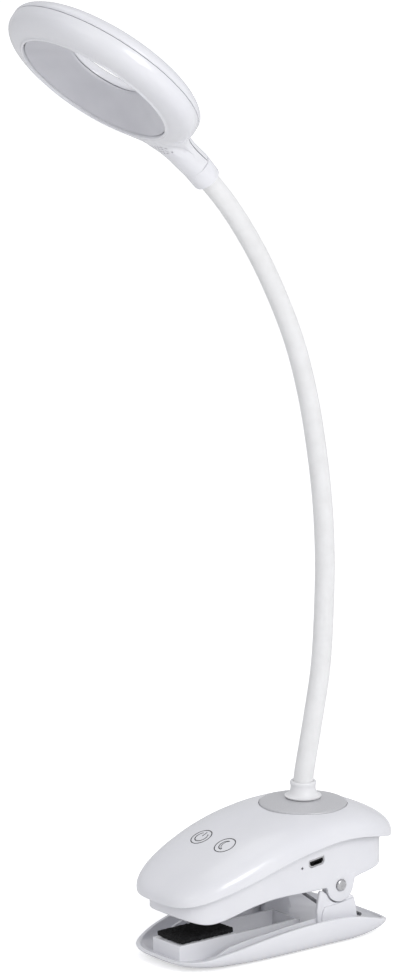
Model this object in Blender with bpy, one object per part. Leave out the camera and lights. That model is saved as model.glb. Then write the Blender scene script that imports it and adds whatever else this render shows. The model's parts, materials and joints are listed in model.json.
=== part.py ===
"""Clip-on reading lamp: a sprung clip, a bendable gooseneck and a ring head.

The frame: +Z up, -Y towards the mouth of the clip, +X towards the charging socket.
The origin lies on the flat underside of the lower jaw, below the foot of the gooseneck.
"""
from math import acos, atan2, cos, hypot, pi, radians, sin, sqrt, tan

import bmesh
import bpy
from mathutils import Matrix, Vector

MM = 0.001
GAP = 0.3 * MM

# Plan outline that the upper cover and the lower jaw share.
BODY_HALF_WIDTH = 30.5 * MM
BODY_NOSE_Y = -80.5 * MM
BODY_TAIL_Y = 41.0 * MM
BODY_NOSE_POWER = 3.6
BODY_TAIL_POWER = 2.25
OUTLINE_POINTS = 40

# Upper cover: heights of its lower edge and of its crown line, as (Y, Z) in millimetres.
COVER_WALL = 2.2 * MM
COVER_DOME_POWER = 3.0
COVER_EDGE = [(-82, 28.0), (-55, 36.6), (-25, 45.0), (5, 48.0), (42, 39.6)]
COVER_CROWN = [(-82, 40.0), (-60, 48.3), (-38, 54.9), (-15, 58.2), (0, 58.6), (15, 58.4), (30, 55.6),
               (42, 51.0)]

# Upper jaw housing, set in from the cover's edge all round.
HOUSING_HALF_WIDTH = 24.5 * MM
HOUSING_NOSE_Y = -75.0 * MM
HOUSING_TAIL_Y = 34.0 * MM
HOUSING_NOSE_POWER = 4.0
HOUSING_TAIL_POWER = 2.8
HOUSING_WALL = 2.0 * MM
HOUSING_SKIRT = [(-76, 22.3), (-68, 20.2), (-62, 20.8), (-48, 24.7), (-34, 26.6), (-10, 26.2), (2, 26.6),
                 (14, 28.8), (35, 29.6)]
HOUSING_FLOOR = [(-76, 22.9), (-62, 23.0), (-45, 26.8), (-25, 32.0), (-8, 34.0), (10, 34.0), (35, 33.0)]
HOUSING_FLOOR_THICKNESS = 1.8 * MM
LUG_RADIUS = 7.3 * MM

# Lower jaw (tray): rim height along Y.
TRAY_NOSE_Y = -81.0 * MM
TRAY_TAIL_Y = 35.0 * MM
TRAY_TAIL_POWER = 2.8
TRAY_WALL = 1.8 * MM
TRAY_FLOOR = 2.0 * MM
TRAY_RIM = [(-82, 5.0), (-72, 6.2), (-60, 8.9), (-43, 12.0), (-25, 13.8), (-5, 13.8), (6, 12.6), (18, 9.4),
            (28, 6.0), (36, 3.2)]
TRAY_FOOT_WIDTH = 0.64
TRAY_FOOT_NOSE = 0.70
TRAY_FOOT_TAIL = 0.50
FEET = ((-14.0, -34.0), (14.0, -34.0), (-14.0, 5.0), (14.0, 5.0))
FOOT_RADIUS = 3.5 * MM
FOOT_THICKNESS = 1.0 * MM

# Hinge of the clip.
PIN_Y = 1.0 * MM
PIN_Z = 26.4 * MM
PIN_RADIUS = 1.9 * MM
PIN_HEAD_RADIUS = 2.5 * MM
PIN_HALF_LENGTH = 24.8 * MM
PIN_BORE_RADIUS = 2.2 * MM
EAR_INNER_X = 22.4 * MM
EAR_OUTER_X = 24.4 * MM
EAR_ARC_RADIUS = 7.9 * MM
CARRIER_INNER_X = 18.6 * MM
CARRIER_OUTER_X = 21.4 * MM
CARRIER_RADIUS = 5.6 * MM

# Pads and the ribs of the lower jaw.
PLATFORM_HALF_WIDTH = 9.3 * MM
PLATFORM_FRONT_Y = -75.0 * MM
PLATFORM_REAR_Y = -44.5 * MM
PLATFORM_TOP = 10.0 * MM
FOAM_THICKNESS = 2.6 * MM
RIB_THICKNESS = 1.4 * MM
RIB_REAR_Y = -9.0 * MM

# Torsion spring of the clip.
SPRING_WIRE = 1.6 * MM
SPRING_RADIUS = 6.0 * MM
SPRING_START_X = -10.0 * MM
SPRING_TURNS = 6
SPRING_PITCH = 1.9 * MM
SPRING_STEPS = 12
SPRING_FOOT_X = 7.5 * MM
SPRING_FOOT_Y = 26.5 * MM
SPRING_FOOT_Z = 4.3 * MM

# Disc and collar at the foot of the gooseneck.
DISC_RADIUS = 19.0 * MM
DISC_TOP = 58.3 * MM
DISC_THICKNESS = 1.1 * MM
DISC_CROWN = 2.4 * MM
COLLAR_RADIUS = 8.0 * MM
COLLAR_TOP = 67.7 * MM

# Gooseneck: its centre line in the plane X = 0, as (Y, Z) in millimetres.
NECK_LINE = [(0.0, 50.5), (0.0, 60.0), (0.3, 69.7), (3.2, 85.0), (6.8, 100.8), (9.8, 120.0), (11.2, 144.0),
             (11.1, 176.0), (6.8, 211.4), (-1.4, 247.4), (-12.8, 275.6), (-28.8, 303.9), (-50.6, 332.4),
             (-59.1, 339.5)]
NECK_SLEEVE_RADIUS = 4.3 * MM
NECK_SLEEVE_BORE = 3.3 * MM
NECK_CONDUIT_RADIUS = 3.0 * MM
NECK_CONDUIT_BORE = 2.3 * MM
NECK_SEGMENTS = 13
NECK_FIRST_JOINT_Z = 69.5 * MM
NECK_LAST_JOINT_Z = 322.0 * MM
NECK_JOINT_SWING = radians(9.0)
NECK_JOINT_PITCH = 0.2 * MM

# Ring head, in its own frame: origin at the centre of the light opening, +Z through the ring, +Y to neck.
HEAD_CENTRE = Vector((0.0, -111.4, 374.8)) * MM
HEAD_TILT = radians(40.2)
HEAD_OPENING_RADIUS = 33.1 * MM
HEAD_RADIUS = 43.5 * MM
HEAD_HOLE_RADIUS = 16.5 * MM
HEAD_HOLE_Z = 10.1 * MM
HEAD_BELLY_Z = 7.0 * MM
HEAD_SEAM_Z = 9.2 * MM
HEAD_CROWN_RADIUS = 27.5 * MM
HEAD_CROWN_Z = 16.9 * MM
HEAD_WALL = 1.5 * MM
HEAD_NECK_HALF_WIDTH = 6.4 * MM
HEAD_NECK_END = 62.4 * MM
HEAD_NECK_FILLET = 18.0 * MM
HEAD_NECK_START = 36.0 * MM
HEAD_NECK_Z = 6.8 * MM
HEAD_NECK_RISE = 6.2 * MM
LED_COUNT = 16

WHITE_GLOSS = ("white_gloss", (0.87, 0.87, 0.89), 0.18, 0.0)
WHITE_SATIN = ("white_satin", (0.86, 0.86, 0.88), 0.35, 0.0)
SLEEVE_WHITE = ("sleeve_white", (0.88, 0.88, 0.89), 0.45, 0.0)
GREY_TRIM = ("grey_trim", (0.55, 0.55, 0.57), 0.35, 0.1)
DIFFUSER = ("diffuser", (0.66, 0.66, 0.69), 0.5, 0.0)
BLACK_FOAM = ("black_foam", (0.012, 0.012, 0.013), 0.95, 0.0)
GRIP_RUBBER = ("grip_rubber", (0.05, 0.05, 0.052), 0.8, 0.0)
BLACK_PLASTIC = ("black_plastic", (0.02, 0.02, 0.022), 0.4, 0.0)
STEEL = ("steel", (0.62, 0.62, 0.63), 0.28, 1.0)
SPRING_STEEL = ("spring_steel", (0.4, 0.4, 0.42), 0.3, 1.0)
BOARD_GREEN = ("board_green", (0.03, 0.22, 0.09), 0.45, 0.0)
BOARD_WHITE = ("board_white", (0.8, 0.8, 0.78), 0.5, 0.0)
BATTERY_BLUE = ("battery_blue", (0.12, 0.25, 0.5), 0.4, 0.0)
LAMP_CLEAR = ("lamp_clear", (0.75, 0.8, 0.8), 0.2, 0.0)


def clear_scene():
    for existing in list(bpy.data.objects):
        bpy.data.objects.remove(existing, do_unlink=True)


def material_for(finish):
    """The Principled material of a finish (name, colour, roughness, metallic), made once."""
    name, colour, roughness, metallic = finish
    found = bpy.data.materials.get(name)
    if found:
        return found
    made = bpy.data.materials.new(name)
    made.use_nodes = True
    shader = made.node_tree.nodes["Principled BSDF"]
    shader.inputs["Base Color"].default_value = (*colour, 1.0)
    shader.inputs["Roughness"].default_value = roughness
    shader.inputs["Metallic"].default_value = metallic
    return made


# ---------------------------------------------------------------- lines and outlines

def smooth_line(stations):
    """A function of Y, in metres, that runs smoothly through (Y, Z) stations given in millimetres."""
    ys = [station[0] * MM for station in stations]
    zs = [station[1] * MM for station in stations]
    slopes = [(zs[1] - zs[0]) / (ys[1] - ys[0])]
    for i in range(1, len(ys) - 1):
        slopes.append((zs[i + 1] - zs[i - 1]) / (ys[i + 1] - ys[i - 1]))
    slopes.append((zs[-1] - zs[-2]) / (ys[-1] - ys[-2]))

    def height(y):
        y = min(max(y, ys[0]), ys[-1])
        i = max(k for k in range(len(ys) - 1) if ys[k] <= y)
        span = ys[i + 1] - ys[i]
        t = (y - ys[i]) / span
        start = (1 + 2 * t) * (1 - t) ** 2 * zs[i] + t * (1 - t) ** 2 * span * slopes[i]
        end = t * t * (3 - 2 * t) * zs[i + 1] + t * t * (t - 1) * span * slopes[i + 1]
        return start + end

    return height


def signed_power(value, power):
    return abs(value) ** power if value >= 0 else -(abs(value) ** power)


def body_outline(half_width, nose_y, tail_y, nose_power, tail_power, inset=0.0):
    """Egg-shaped plan outline: a superellipse with a blunter nose than tail, widest at Y = 0."""
    points = []
    for i in range(OUTLINE_POINTS):
        turn = 2 * pi * i / OUTLINE_POINTS
        power = nose_power if cos(turn) < 0 else tail_power
        reach = -nose_y if cos(turn) < 0 else tail_y
        x = (half_width - inset) * signed_power(sin(turn), 2 / power)
        y = (reach - inset) * signed_power(cos(turn), 2 / power)
        points.append((x, y))
    return points


def scaled(outline, factor):
    return [(x * factor, y * factor) for x, y in outline]


def arc(centre, radius, start, end, steps):
    """Points of an arc in the YZ plane; angles in degrees, from +Y towards +Z."""
    points = []
    for i in range(steps + 1):
        turn = radians(start + (end - start) * i / steps)
        points.append((centre[0] + radius * cos(turn), centre[1] + radius * sin(turn)))
    return points


# ---------------------------------------------------------------- solids

def finish_mesh(bm):
    bmesh.ops.remove_doubles(bm, verts=bm.verts, dist=0.005 * MM)
    bmesh.ops.recalc_face_normals(bm, faces=bm.faces)
    return bm


def lofted(rings, start_fan=True, end_fan=True):
    """A closed skin over rings of points, with a fan of triangles over its first and last ring."""
    bm = bmesh.new()
    loops = [[bm.verts.new(point) for point in ring] for ring in rings]
    count = len(rings[0])
    for lower, upper in zip(loops, loops[1:]):
        for i in range(count):
            j = (i + 1) % count
            bm.faces.new((lower[i], lower[j], upper[j], upper[i]))
    for loop, wanted in ((loops[0], start_fan), (loops[-1], end_fan)):
        if wanted:
            middle = sum((vert.co for vert in loop), Vector()) / count
            hub = bm.verts.new(middle)
            for i in range(count):
                bm.faces.new((loop[i], loop[(i + 1) % count], hub))
    if not start_fan and not end_fan:
        first, last = loops[0], loops[-1]
        for i in range(count):
            j = (i + 1) % count
            bm.faces.new((last[i], last[j], first[j], first[i]))
    return finish_mesh(bm)


def turned(profile, steps, placing=None):
    """A body of revolution about +Z from a closed profile of (radius, z)."""
    bm = bmesh.new()
    verts = [bm.verts.new((radius, 0.0, z)) for radius, z in profile]
    edges = [bm.edges.new((verts[i], verts[(i + 1) % len(verts)])) for i in range(len(verts))]
    bmesh.ops.spin(bm, geom=verts + edges, cent=(0, 0, 0), axis=(0, 0, 1), angle=2 * pi, steps=steps,
                   use_merge=True)
    bmesh.ops.remove_doubles(bm, verts=bm.verts, dist=0.005 * MM)
    needless = [edge for edge in bm.edges if not edge.link_faces]
    bmesh.ops.delete(bm, geom=needless, context="EDGES")
    if placing:
        bmesh.ops.transform(bm, matrix=placing, verts=bm.verts)
    return finish_mesh(bm)


def plate(profile, x_low, x_high):
    """A flat piece: a closed profile of (y, z) pushed from x_low to x_high."""
    bm = bmesh.new()
    face = bm.faces.new([bm.verts.new((x_low, y, z)) for y, z in profile])
    pushed = bmesh.ops.extrude_face_region(bm, geom=[face])
    moved = [item for item in pushed["geom"] if isinstance(item, bmesh.types.BMVert)]
    bmesh.ops.translate(bm, vec=(x_high - x_low, 0, 0), verts=moved)
    return finish_mesh(bm)


def block(low, high, placing=None, bevel=0.0):
    """A box between two corners, with its edges rounded off where bevel is given."""
    bm = bmesh.new()
    size = [high[i] - low[i] for i in range(3)]
    middle = Vector([(high[i] + low[i]) / 2 for i in range(3)])
    bmesh.ops.create_cube(bm, size=1.0, matrix=Matrix.Translation(middle) @ Matrix.Diagonal((*size, 1.0)))
    if bevel:
        bmesh.ops.bevel(bm, geom=bm.edges[:], offset=bevel, segments=2, profile=0.5, affect="EDGES")
    if placing:
        bmesh.ops.transform(bm, matrix=placing, verts=bm.verts)
    return finish_mesh(bm)


def rod(radius, start, end, sides=16):
    """A round bar between two points."""
    bm = bmesh.new()
    along = Vector(end) - Vector(start)
    turn = along.to_track_quat("Z", "Y").to_matrix().to_4x4()
    placing = Matrix.Translation((Vector(start) + Vector(end)) / 2) @ turn
    bmesh.ops.create_cone(bm, cap_ends=True, segments=sides, radius1=radius, radius2=radius,
                          depth=along.length, matrix=placing)
    return finish_mesh(bm)


def joined(*pieces):
    """One mesh that holds several separate closed pieces, for use as a cutter or an addition."""
    whole = bmesh.new()
    for piece in pieces:
        copied = bpy.data.meshes.new("copied")
        piece.to_mesh(copied)
        piece.free()
        whole.from_mesh(copied)
        bpy.data.meshes.remove(copied)
    return whole


def combined(base, other, operation):
    """Boolean of two meshes; operation is UNION or DIFFERENCE."""
    holders = []
    for label, mesh_data in (("base", base), ("other", other)):
        mesh = bpy.data.meshes.new(label)
        mesh_data.to_mesh(mesh)
        mesh_data.free()
        holder = bpy.data.objects.new(label, mesh)
        bpy.context.collection.objects.link(holder)
        holders.append(holder)
    modifier = holders[0].modifiers.new("combine", "BOOLEAN")
    modifier.operation = operation
    modifier.solver = "EXACT"
    modifier.object = holders[1]
    evaluated = holders[0].evaluated_get(bpy.context.evaluated_depsgraph_get())
    result = bmesh.new()
    result.from_mesh(evaluated.to_mesh())
    evaluated.to_mesh_clear()
    for holder in holders:
        mesh = holder.data
        bpy.data.objects.remove(holder, do_unlink=True)
        bpy.data.meshes.remove(mesh)
    bmesh.ops.remove_doubles(result, verts=result.verts, dist=0.002 * MM)
    return result


def with_added(base, *pieces):
    return combined(base, joined(*pieces), "UNION")


def with_cut(base, *pieces):
    return combined(base, joined(*pieces), "DIFFERENCE")


def place(name, bm, finish, parent, sharp_angle=35):
    """Store a mesh as a named object whose origin is its parent empty's place."""
    origin = parent.matrix_world.translation
    bmesh.ops.translate(bm, vec=-origin, verts=bm.verts)
    mesh = bpy.data.meshes.new(name)
    bm.to_mesh(mesh)
    bm.free()
    mesh.shade_smooth()
    mesh.set_sharp_from_angle(angle=radians(sharp_angle))
    mesh.materials.append(material_for(finish))
    made = bpy.data.objects.new(name, mesh)
    bpy.context.collection.objects.link(made)
    made.parent = parent
    return made


def make_pivot(name, location, parent=None):
    """An empty on a joint's axis, which the pieces beyond that joint hang from."""
    pivot = bpy.data.objects.new(name, None)
    pivot.empty_display_size = 8 * MM
    bpy.context.collection.objects.link(pivot)
    pivot.parent = parent
    pivot.location = Vector(location) - (parent.matrix_world.translation if parent else Vector())
    bpy.context.view_layer.update()
    return pivot


# ---------------------------------------------------------------- lower jaw

def tray_outline(inset=0.0):
    return body_outline(BODY_HALF_WIDTH, TRAY_NOSE_Y, TRAY_TAIL_Y, BODY_NOSE_POWER, TRAY_TAIL_POWER, inset)


def tray_foot(outline):
    """Outline of the flat foot under an outline of the rim: narrow, and shorter at the tail."""
    return [(x * TRAY_FOOT_WIDTH, y * (TRAY_FOOT_NOSE if y < 0 else TRAY_FOOT_TAIL)) for x, y in outline]


def tray_shell():
    """Shallow boat: flat foot, sides that round up to a thin rim."""
    rim = smooth_line(TRAY_RIM)
    outer = tray_outline()
    inner = tray_outline(TRAY_WALL)
    foot = tray_foot(outer)
    floor = tray_foot(inner)

    def side(start, end, low, high_of, turn):
        grow = sin(turn)
        rise = 1 - cos(turn)
        ring = []
        for (x0, y0), (x1, y1) in zip(start, end):
            x, y = x0 + (x1 - x0) * grow, y0 + (y1 - y0) * grow
            ring.append((x, y, low + (high_of(y1) - low) * rise))
        return ring

    turns = [radians(angle) for angle in (20, 38, 56, 73, 90)]
    rings = [[(x * 0.5, y * 0.5, TRAY_FLOOR) for x, y in floor]]
    rings.append([(x, y, TRAY_FLOOR) for x, y in floor])
    rings += [side(floor, inner, TRAY_FLOOR, rim, turn) for turn in turns]
    rings += [side(foot, outer, 0.0, rim, turn) for turn in reversed(turns)]
    rings.append([(x, y, 0.0) for x, y in foot])
    rings.append([(x * 0.5, y * 0.5, 0.0) for x, y in foot])
    return lofted(rings)


def ear_profile():
    """Outer ear: a peak ahead of the pin, a hollow under the housing's lug, and a sloping back."""
    low = 2.4 * MM
    front = [(-11.4 * MM, low), (-11.2 * MM, 12 * MM), (-11.6 * MM, 17 * MM), (-10.4 * MM, 24.2 * MM),
             (-9.4 * MM, 25.4 * MM), (-8.3 * MM, 24.9 * MM)]
    hollow = arc((PIN_Y, PIN_Z), EAR_ARC_RADIUS, 202, 318, 9)
    back = [(8.6 * MM, 20.2 * MM), (9.6 * MM, 16 * MM), (10.3 * MM, 11 * MM), (12.5 * MM, low)]
    return front + hollow + back


def carrier_profile():
    """Inner lug of the lower jaw, which carries the pin."""
    low = 1.2 * MM
    crown = arc((PIN_Y, PIN_Z), CARRIER_RADIUS, -10, 190, 12)
    return [(8.0 * MM, low)] + crown + [(-6.5 * MM, low)]


def fin_profile():
    """Low inner wall that runs forward from the ear and tapers off."""
    top = [(-66, 4.6), (-62, 5.6), (-56, 8.6), (-44, 11.0), (-11, 13.4)]
    underside = [(-11, 1.8), (-40, 2.0), (-50, 2.3), (-60, 2.9), (-66, 3.6)]
    return [(y * MM, z * MM) for y, z in top + underside]


def platform_profile():
    """Side of the block under the lower pad; its foot follows the tray's floor."""
    points = [(-75, 3.0), (-75, 10), (-44.5, 10), (-44.5, 1.4), (-60, 1.4), (-68, 2.0)]
    return [(y * MM, z * MM) for y, z in points]


def lower_tray():
    shell = tray_shell()
    sink = 0.6 * MM
    half = PLATFORM_HALF_WIDTH
    platform = plate(platform_profile(), -half, half)
    shell = with_added(shell, platform)
    inside = half - RIB_THICKNESS
    frame = block((-half, PLATFORM_REAR_Y - sink, TRAY_FLOOR - sink), (half, RIB_REAR_Y, PLATFORM_TOP - GAP))
    pocket = block((-inside, PLATFORM_REAR_Y + GAP, TRAY_FLOOR - sink - GAP),
                   (inside, RIB_REAR_Y - RIB_THICKNESS, PLATFORM_TOP + sink))
    shell = with_added(shell, with_cut(frame, pocket))
    sides = []
    for side in (-1, 1):
        sides.append(plate(ear_profile(), side * EAR_INNER_X, side * EAR_OUTER_X))
        sides.append(plate(carrier_profile(), side * CARRIER_INNER_X, side * CARRIER_OUTER_X))
    shell = with_added(shell, *sides)
    fins = [plate(fin_profile(), side * 21.2 * MM, side * 22.6 * MM) for side in (-1, 1)]
    shell = with_added(shell, *fins)
    reach = CARRIER_OUTER_X + 0.5 * MM
    cuts = []
    for side in (-1, 1):
        start = (side * (CARRIER_INNER_X - 0.5 * MM), PIN_Y, PIN_Z)
        cuts.append(rod(PIN_BORE_RADIUS, start, (side * reach, PIN_Y, PIN_Z)))
    for x_mm, y_mm in FEET:
        low, high = (x_mm * MM, y_mm * MM, -1.0 * MM), (x_mm * MM, y_mm * MM, FOOT_THICKNESS + GAP)
        cuts.append(rod(FOOT_RADIUS + GAP, low, high, 24))
    return with_cut(shell, *cuts)


def foot_pad(x_mm, y_mm):
    """Round rubber foot let into the flat underside."""
    return rod(FOOT_RADIUS, (x_mm * MM, y_mm * MM, 0.0), (x_mm * MM, y_mm * MM, FOOT_THICKNESS), 24)


def lower_foam():
    inset = 0.7 * MM
    low = (-PLATFORM_HALF_WIDTH + inset, PLATFORM_FRONT_Y + 1.6 * MM, PLATFORM_TOP + GAP)
    high = (PLATFORM_HALF_WIDTH - inset, PLATFORM_REAR_Y - inset, PLATFORM_TOP + FOAM_THICKNESS)
    return block(low, high, bevel=0.5 * MM)


def hinge_pin():
    """Steel pin along X with a domed head on the socket side."""
    head_low = PIN_HALF_LENGTH
    head_top = head_low + 0.9 * MM
    tail = -PIN_HALF_LENGTH - 0.8 * MM
    profile = [(0, tail), (PIN_RADIUS - 0.3 * MM, tail), (PIN_RADIUS, tail + 0.3 * MM),
               (PIN_RADIUS, head_low), (PIN_HEAD_RADIUS, head_low), (PIN_HEAD_RADIUS, head_low + 0.5 * MM),
               (PIN_HEAD_RADIUS - 0.5 * MM, head_top), (0, head_top)]
    placing = Matrix.Translation((0, PIN_Y, PIN_Z)) @ Matrix.Rotation(pi / 2, 4, "Y")
    return turned(profile, 16, placing)


def pin_cap():
    """Push-on cap over the plain end of the pin."""
    bore = PIN_RADIUS + GAP
    shallow = -PIN_HALF_LENGTH
    deep = shallow - 1.4 * MM
    floor = deep + 0.3 * MM
    profile = [(0, deep), (PIN_HEAD_RADIUS - 0.4 * MM, deep), (PIN_HEAD_RADIUS + 0.3 * MM, floor),
               (PIN_HEAD_RADIUS + 0.3 * MM, shallow), (bore, shallow), (bore, floor), (0, floor)]
    placing = Matrix.Translation((0, PIN_Y, PIN_Z)) @ Matrix.Rotation(pi / 2, 4, "Y")
    return turned(profile, 16, placing)


def spring_path():
    """Foot across the tray's tail, lower leg, coil about the pin, and upper leg under the housing."""
    lower_turn = radians(233)
    upper_turn = radians(90) - 2 * pi * SPRING_TURNS
    rest_z = SPRING_FOOT_Z
    x = SPRING_START_X
    first = (PIN_Y + SPRING_RADIUS * cos(lower_turn), PIN_Z + SPRING_RADIUS * sin(lower_turn))
    slope = tan(lower_turn - pi / 2)
    touch_y = first[0] + (rest_z - first[1]) / slope
    bend = 1.4 * MM
    points = [(SPRING_FOOT_X, SPRING_FOOT_Y, rest_z), (x + bend, SPRING_FOOT_Y, rest_z),
              (x + bend * 0.3, SPRING_FOOT_Y - bend * 0.3, rest_z), (x, SPRING_FOOT_Y - bend, rest_z),
              (x, touch_y + 1.0 * MM, rest_z), (x, touch_y - 0.8 * MM, rest_z + 0.8 * MM)]
    steps = round((lower_turn - upper_turn) / (2 * pi) * SPRING_STEPS)
    for i in range(steps + 1):
        part = i / steps
        turn = lower_turn + (upper_turn - lower_turn) * part
        along = x + SPRING_PITCH * SPRING_TURNS * part
        points.append((along, PIN_Y + SPRING_RADIUS * cos(turn), PIN_Z + SPRING_RADIUS * sin(turn)))
    last_x = x + SPRING_PITCH * SPRING_TURNS
    points.append((last_x, 12 * MM, PIN_Z + SPRING_RADIUS - 0.2 * MM))
    points.append((last_x, 24 * MM, PIN_Z + SPRING_RADIUS - 1.2 * MM))
    return points


def place_spring(name, finish, parent):
    curve = bpy.data.curves.new(name, "CURVE")
    curve.dimensions = "3D"
    curve.bevel_depth = SPRING_WIRE / 2
    curve.bevel_resolution = 2
    curve.use_fill_caps = True
    path = spring_path()
    spline = curve.splines.new("POLY")
    spline.points.add(len(path) - 1)
    origin = parent.matrix_world.translation
    for point, target in zip(spline.points, path):
        point.co = (*(Vector(target) - origin), 1.0)
    curve.materials.append(material_for(finish))
    made = bpy.data.objects.new(name, curve)
    bpy.context.collection.objects.link(made)
    made.parent = parent


# ---------------------------------------------------------------- upper jaw

def cover_rings(inset, angles):
    """Rings of the cover's dome, from its edge (angle 0) to near its crown (angle 90)."""
    edge = smooth_line(COVER_EDGE)
    crown = smooth_line(COVER_CROWN)
    outline = body_outline(BODY_HALF_WIDTH, BODY_NOSE_Y, BODY_TAIL_Y, BODY_NOSE_POWER, BODY_TAIL_POWER,
                           inset)
    rings = []
    for angle in angles:
        shrink = cos(radians(angle)) ** (2 / COVER_DOME_POWER)
        rise = sin(radians(angle)) ** (2 / COVER_DOME_POWER)
        ring = []
        for x, y in outline:
            top = crown(y * shrink) - inset
            ring.append((x * shrink, y * shrink, edge(y) * (1 - rise) + top * rise))
        rings.append(ring)
    return rings


def cover_height(x, y):
    """Height of the cover's outer surface above a place in the plan."""
    edge = smooth_line(COVER_EDGE)
    crown = smooth_line(COVER_CROWN)
    power = BODY_NOSE_POWER if y < 0 else BODY_TAIL_POWER
    reach = BODY_NOSE_Y if y < 0 else BODY_TAIL_Y
    shrink = (abs(x / BODY_HALF_WIDTH) ** power + abs(y / reach) ** power) ** (1 / power)
    rise = (1 - shrink ** COVER_DOME_POWER) ** (1 / COVER_DOME_POWER)
    return edge(y / shrink) * (1 - rise) + crown(y) * rise


SCREW_PLACES = ((-10.0, -23.5), (10.0, -23.5), (-10.0, 24.0), (10.0, 24.0))


def top_cover():
    outer = cover_rings(0.0, (0, 6, 15, 28, 43, 58, 72, 83))
    inner = cover_rings(COVER_WALL, (83, 65, 45, 25, 8, 0))
    shell = lofted(inner + outer)
    floor = smooth_line(HOUSING_FLOOR)
    bosses = []
    bores = []
    for x_mm, y_mm in SCREW_PLACES:
        x, y = x_mm * MM, y_mm * MM
        foot = floor(y) + HOUSING_FLOOR_THICKNESS + 1.2 * MM
        bosses.append(rod(2.8 * MM, (x, y, foot), (x, y, cover_height(x, y) - 1.1 * MM)))
        bores.append(rod(1.4 * MM, (x, y, foot - 1 * MM), (x, y, foot + 9 * MM), 12))
    shell = with_added(shell, *bosses)
    recess_floor = DISC_TOP - DISC_THICKNESS - GAP
    recess = turned([(0, 50 * MM), (5.6 * MM, 50 * MM), (5.6 * MM, recess_floor),
                     (DISC_RADIUS + GAP, recess_floor), (DISC_RADIUS + GAP, 64 * MM), (0, 64 * MM)], 40)
    return with_cut(shell, recess, *bores)


def housing_outline(inset=0.0):
    return body_outline(HOUSING_HALF_WIDTH, HOUSING_NOSE_Y, HOUSING_TAIL_Y, HOUSING_NOSE_POWER,
                        HOUSING_TAIL_POWER, inset)


def housing_top(y):
    """Height of the housing's upper rim: just inside the cover, below its inner face."""
    edge = smooth_line(COVER_EDGE)
    return edge(y * 1.08) + 1.2 * MM


def socket_placing():
    """Frame of the charging socket: it follows the slope of the cover's edge."""
    return Matrix.Translation((0, -12.5 * MM, 39.1 * MM)) @ Matrix.Rotation(radians(8.6), 4, "X")


def socket_outline(width, height):
    """D-shaped mouth in (y, z): flat on top, with its lower corners cut back."""
    half, low, high = width / 2, -height / 2, height / 2
    cut = min(1.0 * MM, height * 0.4)
    return [(-half, high), (-half, low + cut), (-half + cut, low), (half - cut, low), (half, low + cut),
            (half, high)]


def lower_housing():
    floor = smooth_line(HOUSING_FLOOR)
    skirt = smooth_line(HOUSING_SKIRT)
    outer = housing_outline()
    inner = housing_outline(HOUSING_WALL)
    deep = housing_outline(HOUSING_WALL + 1.5 * MM)
    soften = housing_outline(0.8 * MM)

    def level(outline, height_of):
        return [(x, y, height_of(y)) for x, y in outline]

    rings = [level(scaled(deep, 0.35), lambda y: floor(y) + HOUSING_FLOOR_THICKNESS),
             level(scaled(deep, 0.7), lambda y: floor(y) + HOUSING_FLOOR_THICKNESS),
             level(deep, lambda y: floor(y) + HOUSING_FLOOR_THICKNESS),
             level(inner, lambda y: floor(y) + HOUSING_FLOOR_THICKNESS + 1.5 * MM),
             [(x, y, housing_top(y)) for x, y in inner],
             [(x, y, housing_top(y)) for x, y in outer],
             level(outer, lambda y: skirt(y) + 1.2 * MM),
             level(soften, skirt),
             level(inner, lambda y: skirt(y) + 0.1 * MM),
             level(inner, lambda y: floor(y) - 0.5 * MM),
             level(deep, floor),
             level(scaled(deep, 0.7), floor),
             level(scaled(deep, 0.35), floor)]
    shell = lofted(rings)
    lugs = []
    for side in (-1, 1):
        crown = arc((PIN_Y, PIN_Z), LUG_RADIUS, 188, 352, 12)
        neck = [(-8.5 * MM, 30.5 * MM), *crown, (9.5 * MM, 30.5 * MM)]
        lugs.append(plate(neck, side * (HOUSING_HALF_WIDTH - HOUSING_WALL + 0.1 * MM),
                          side * (HOUSING_HALF_WIDTH - 0.02 * MM)))
    shell = with_added(shell, *lugs)
    mouth = plate(socket_outline(8.5 * MM, 3.5 * MM), 20 * MM, 27 * MM)
    bmesh.ops.transform(mouth, matrix=socket_placing(), verts=mouth.verts)
    cuts = [mouth, rod(0.6 * MM, (20 * MM, -20.5 * MM, 37.7 * MM), (27 * MM, -20.5 * MM, 37.7 * MM), 10),
            rod(PIN_BORE_RADIUS, (-27 * MM, PIN_Y, PIN_Z), (-20 * MM, PIN_Y, PIN_Z)),
            rod(PIN_BORE_RADIUS, (20 * MM, PIN_Y, PIN_Z), (27 * MM, PIN_Y, PIN_Z))]
    for x_mm, y_mm in SCREW_PLACES:
        x, y = x_mm * MM, y_mm * MM
        cuts.append(rod(1.5 * MM, (x, y, floor(y) - 2 * MM), (x, y, floor(y) + 4 * MM), 12))
    return with_cut(shell, *cuts)


def upper_foam():
    """Pad under the upper jaw, parallel to its sloping floor."""
    floor = smooth_line(HOUSING_FLOOR)
    front_y, rear_y = -70.0 * MM, -42.0 * MM
    slope = atan2(floor(rear_y) - floor(front_y), rear_y - front_y)
    middle = Matrix.Translation((0, -56 * MM, floor(-56 * MM) - 1.5 * MM)) @ Matrix.Rotation(slope, 4, "X")
    half = 13.5 * MM
    return block((-10.5 * MM, -half, -1.4 * MM), (10.5 * MM, half, 0.0), placing=middle, bevel=0.3 * MM)


def disc_height(radius):
    """Height of the low dome of the disc, a given way out from its middle."""
    return DISC_TOP + DISC_CROWN * (1 - (radius / DISC_RADIUS) ** 2)


def base_disc():
    low = DISC_TOP - DISC_THICKNESS
    bore = 5.8 * MM
    dome = [(radius * MM, disc_height(radius * MM)) for radius in (18.6, 16, 13, 10, 7.5)]
    return turned([(bore, low), (DISC_RADIUS, low), (DISC_RADIUS, DISC_TOP - 0.3 * MM)] + dome
                  + [(bore, disc_height(bore))], 40)


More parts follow.
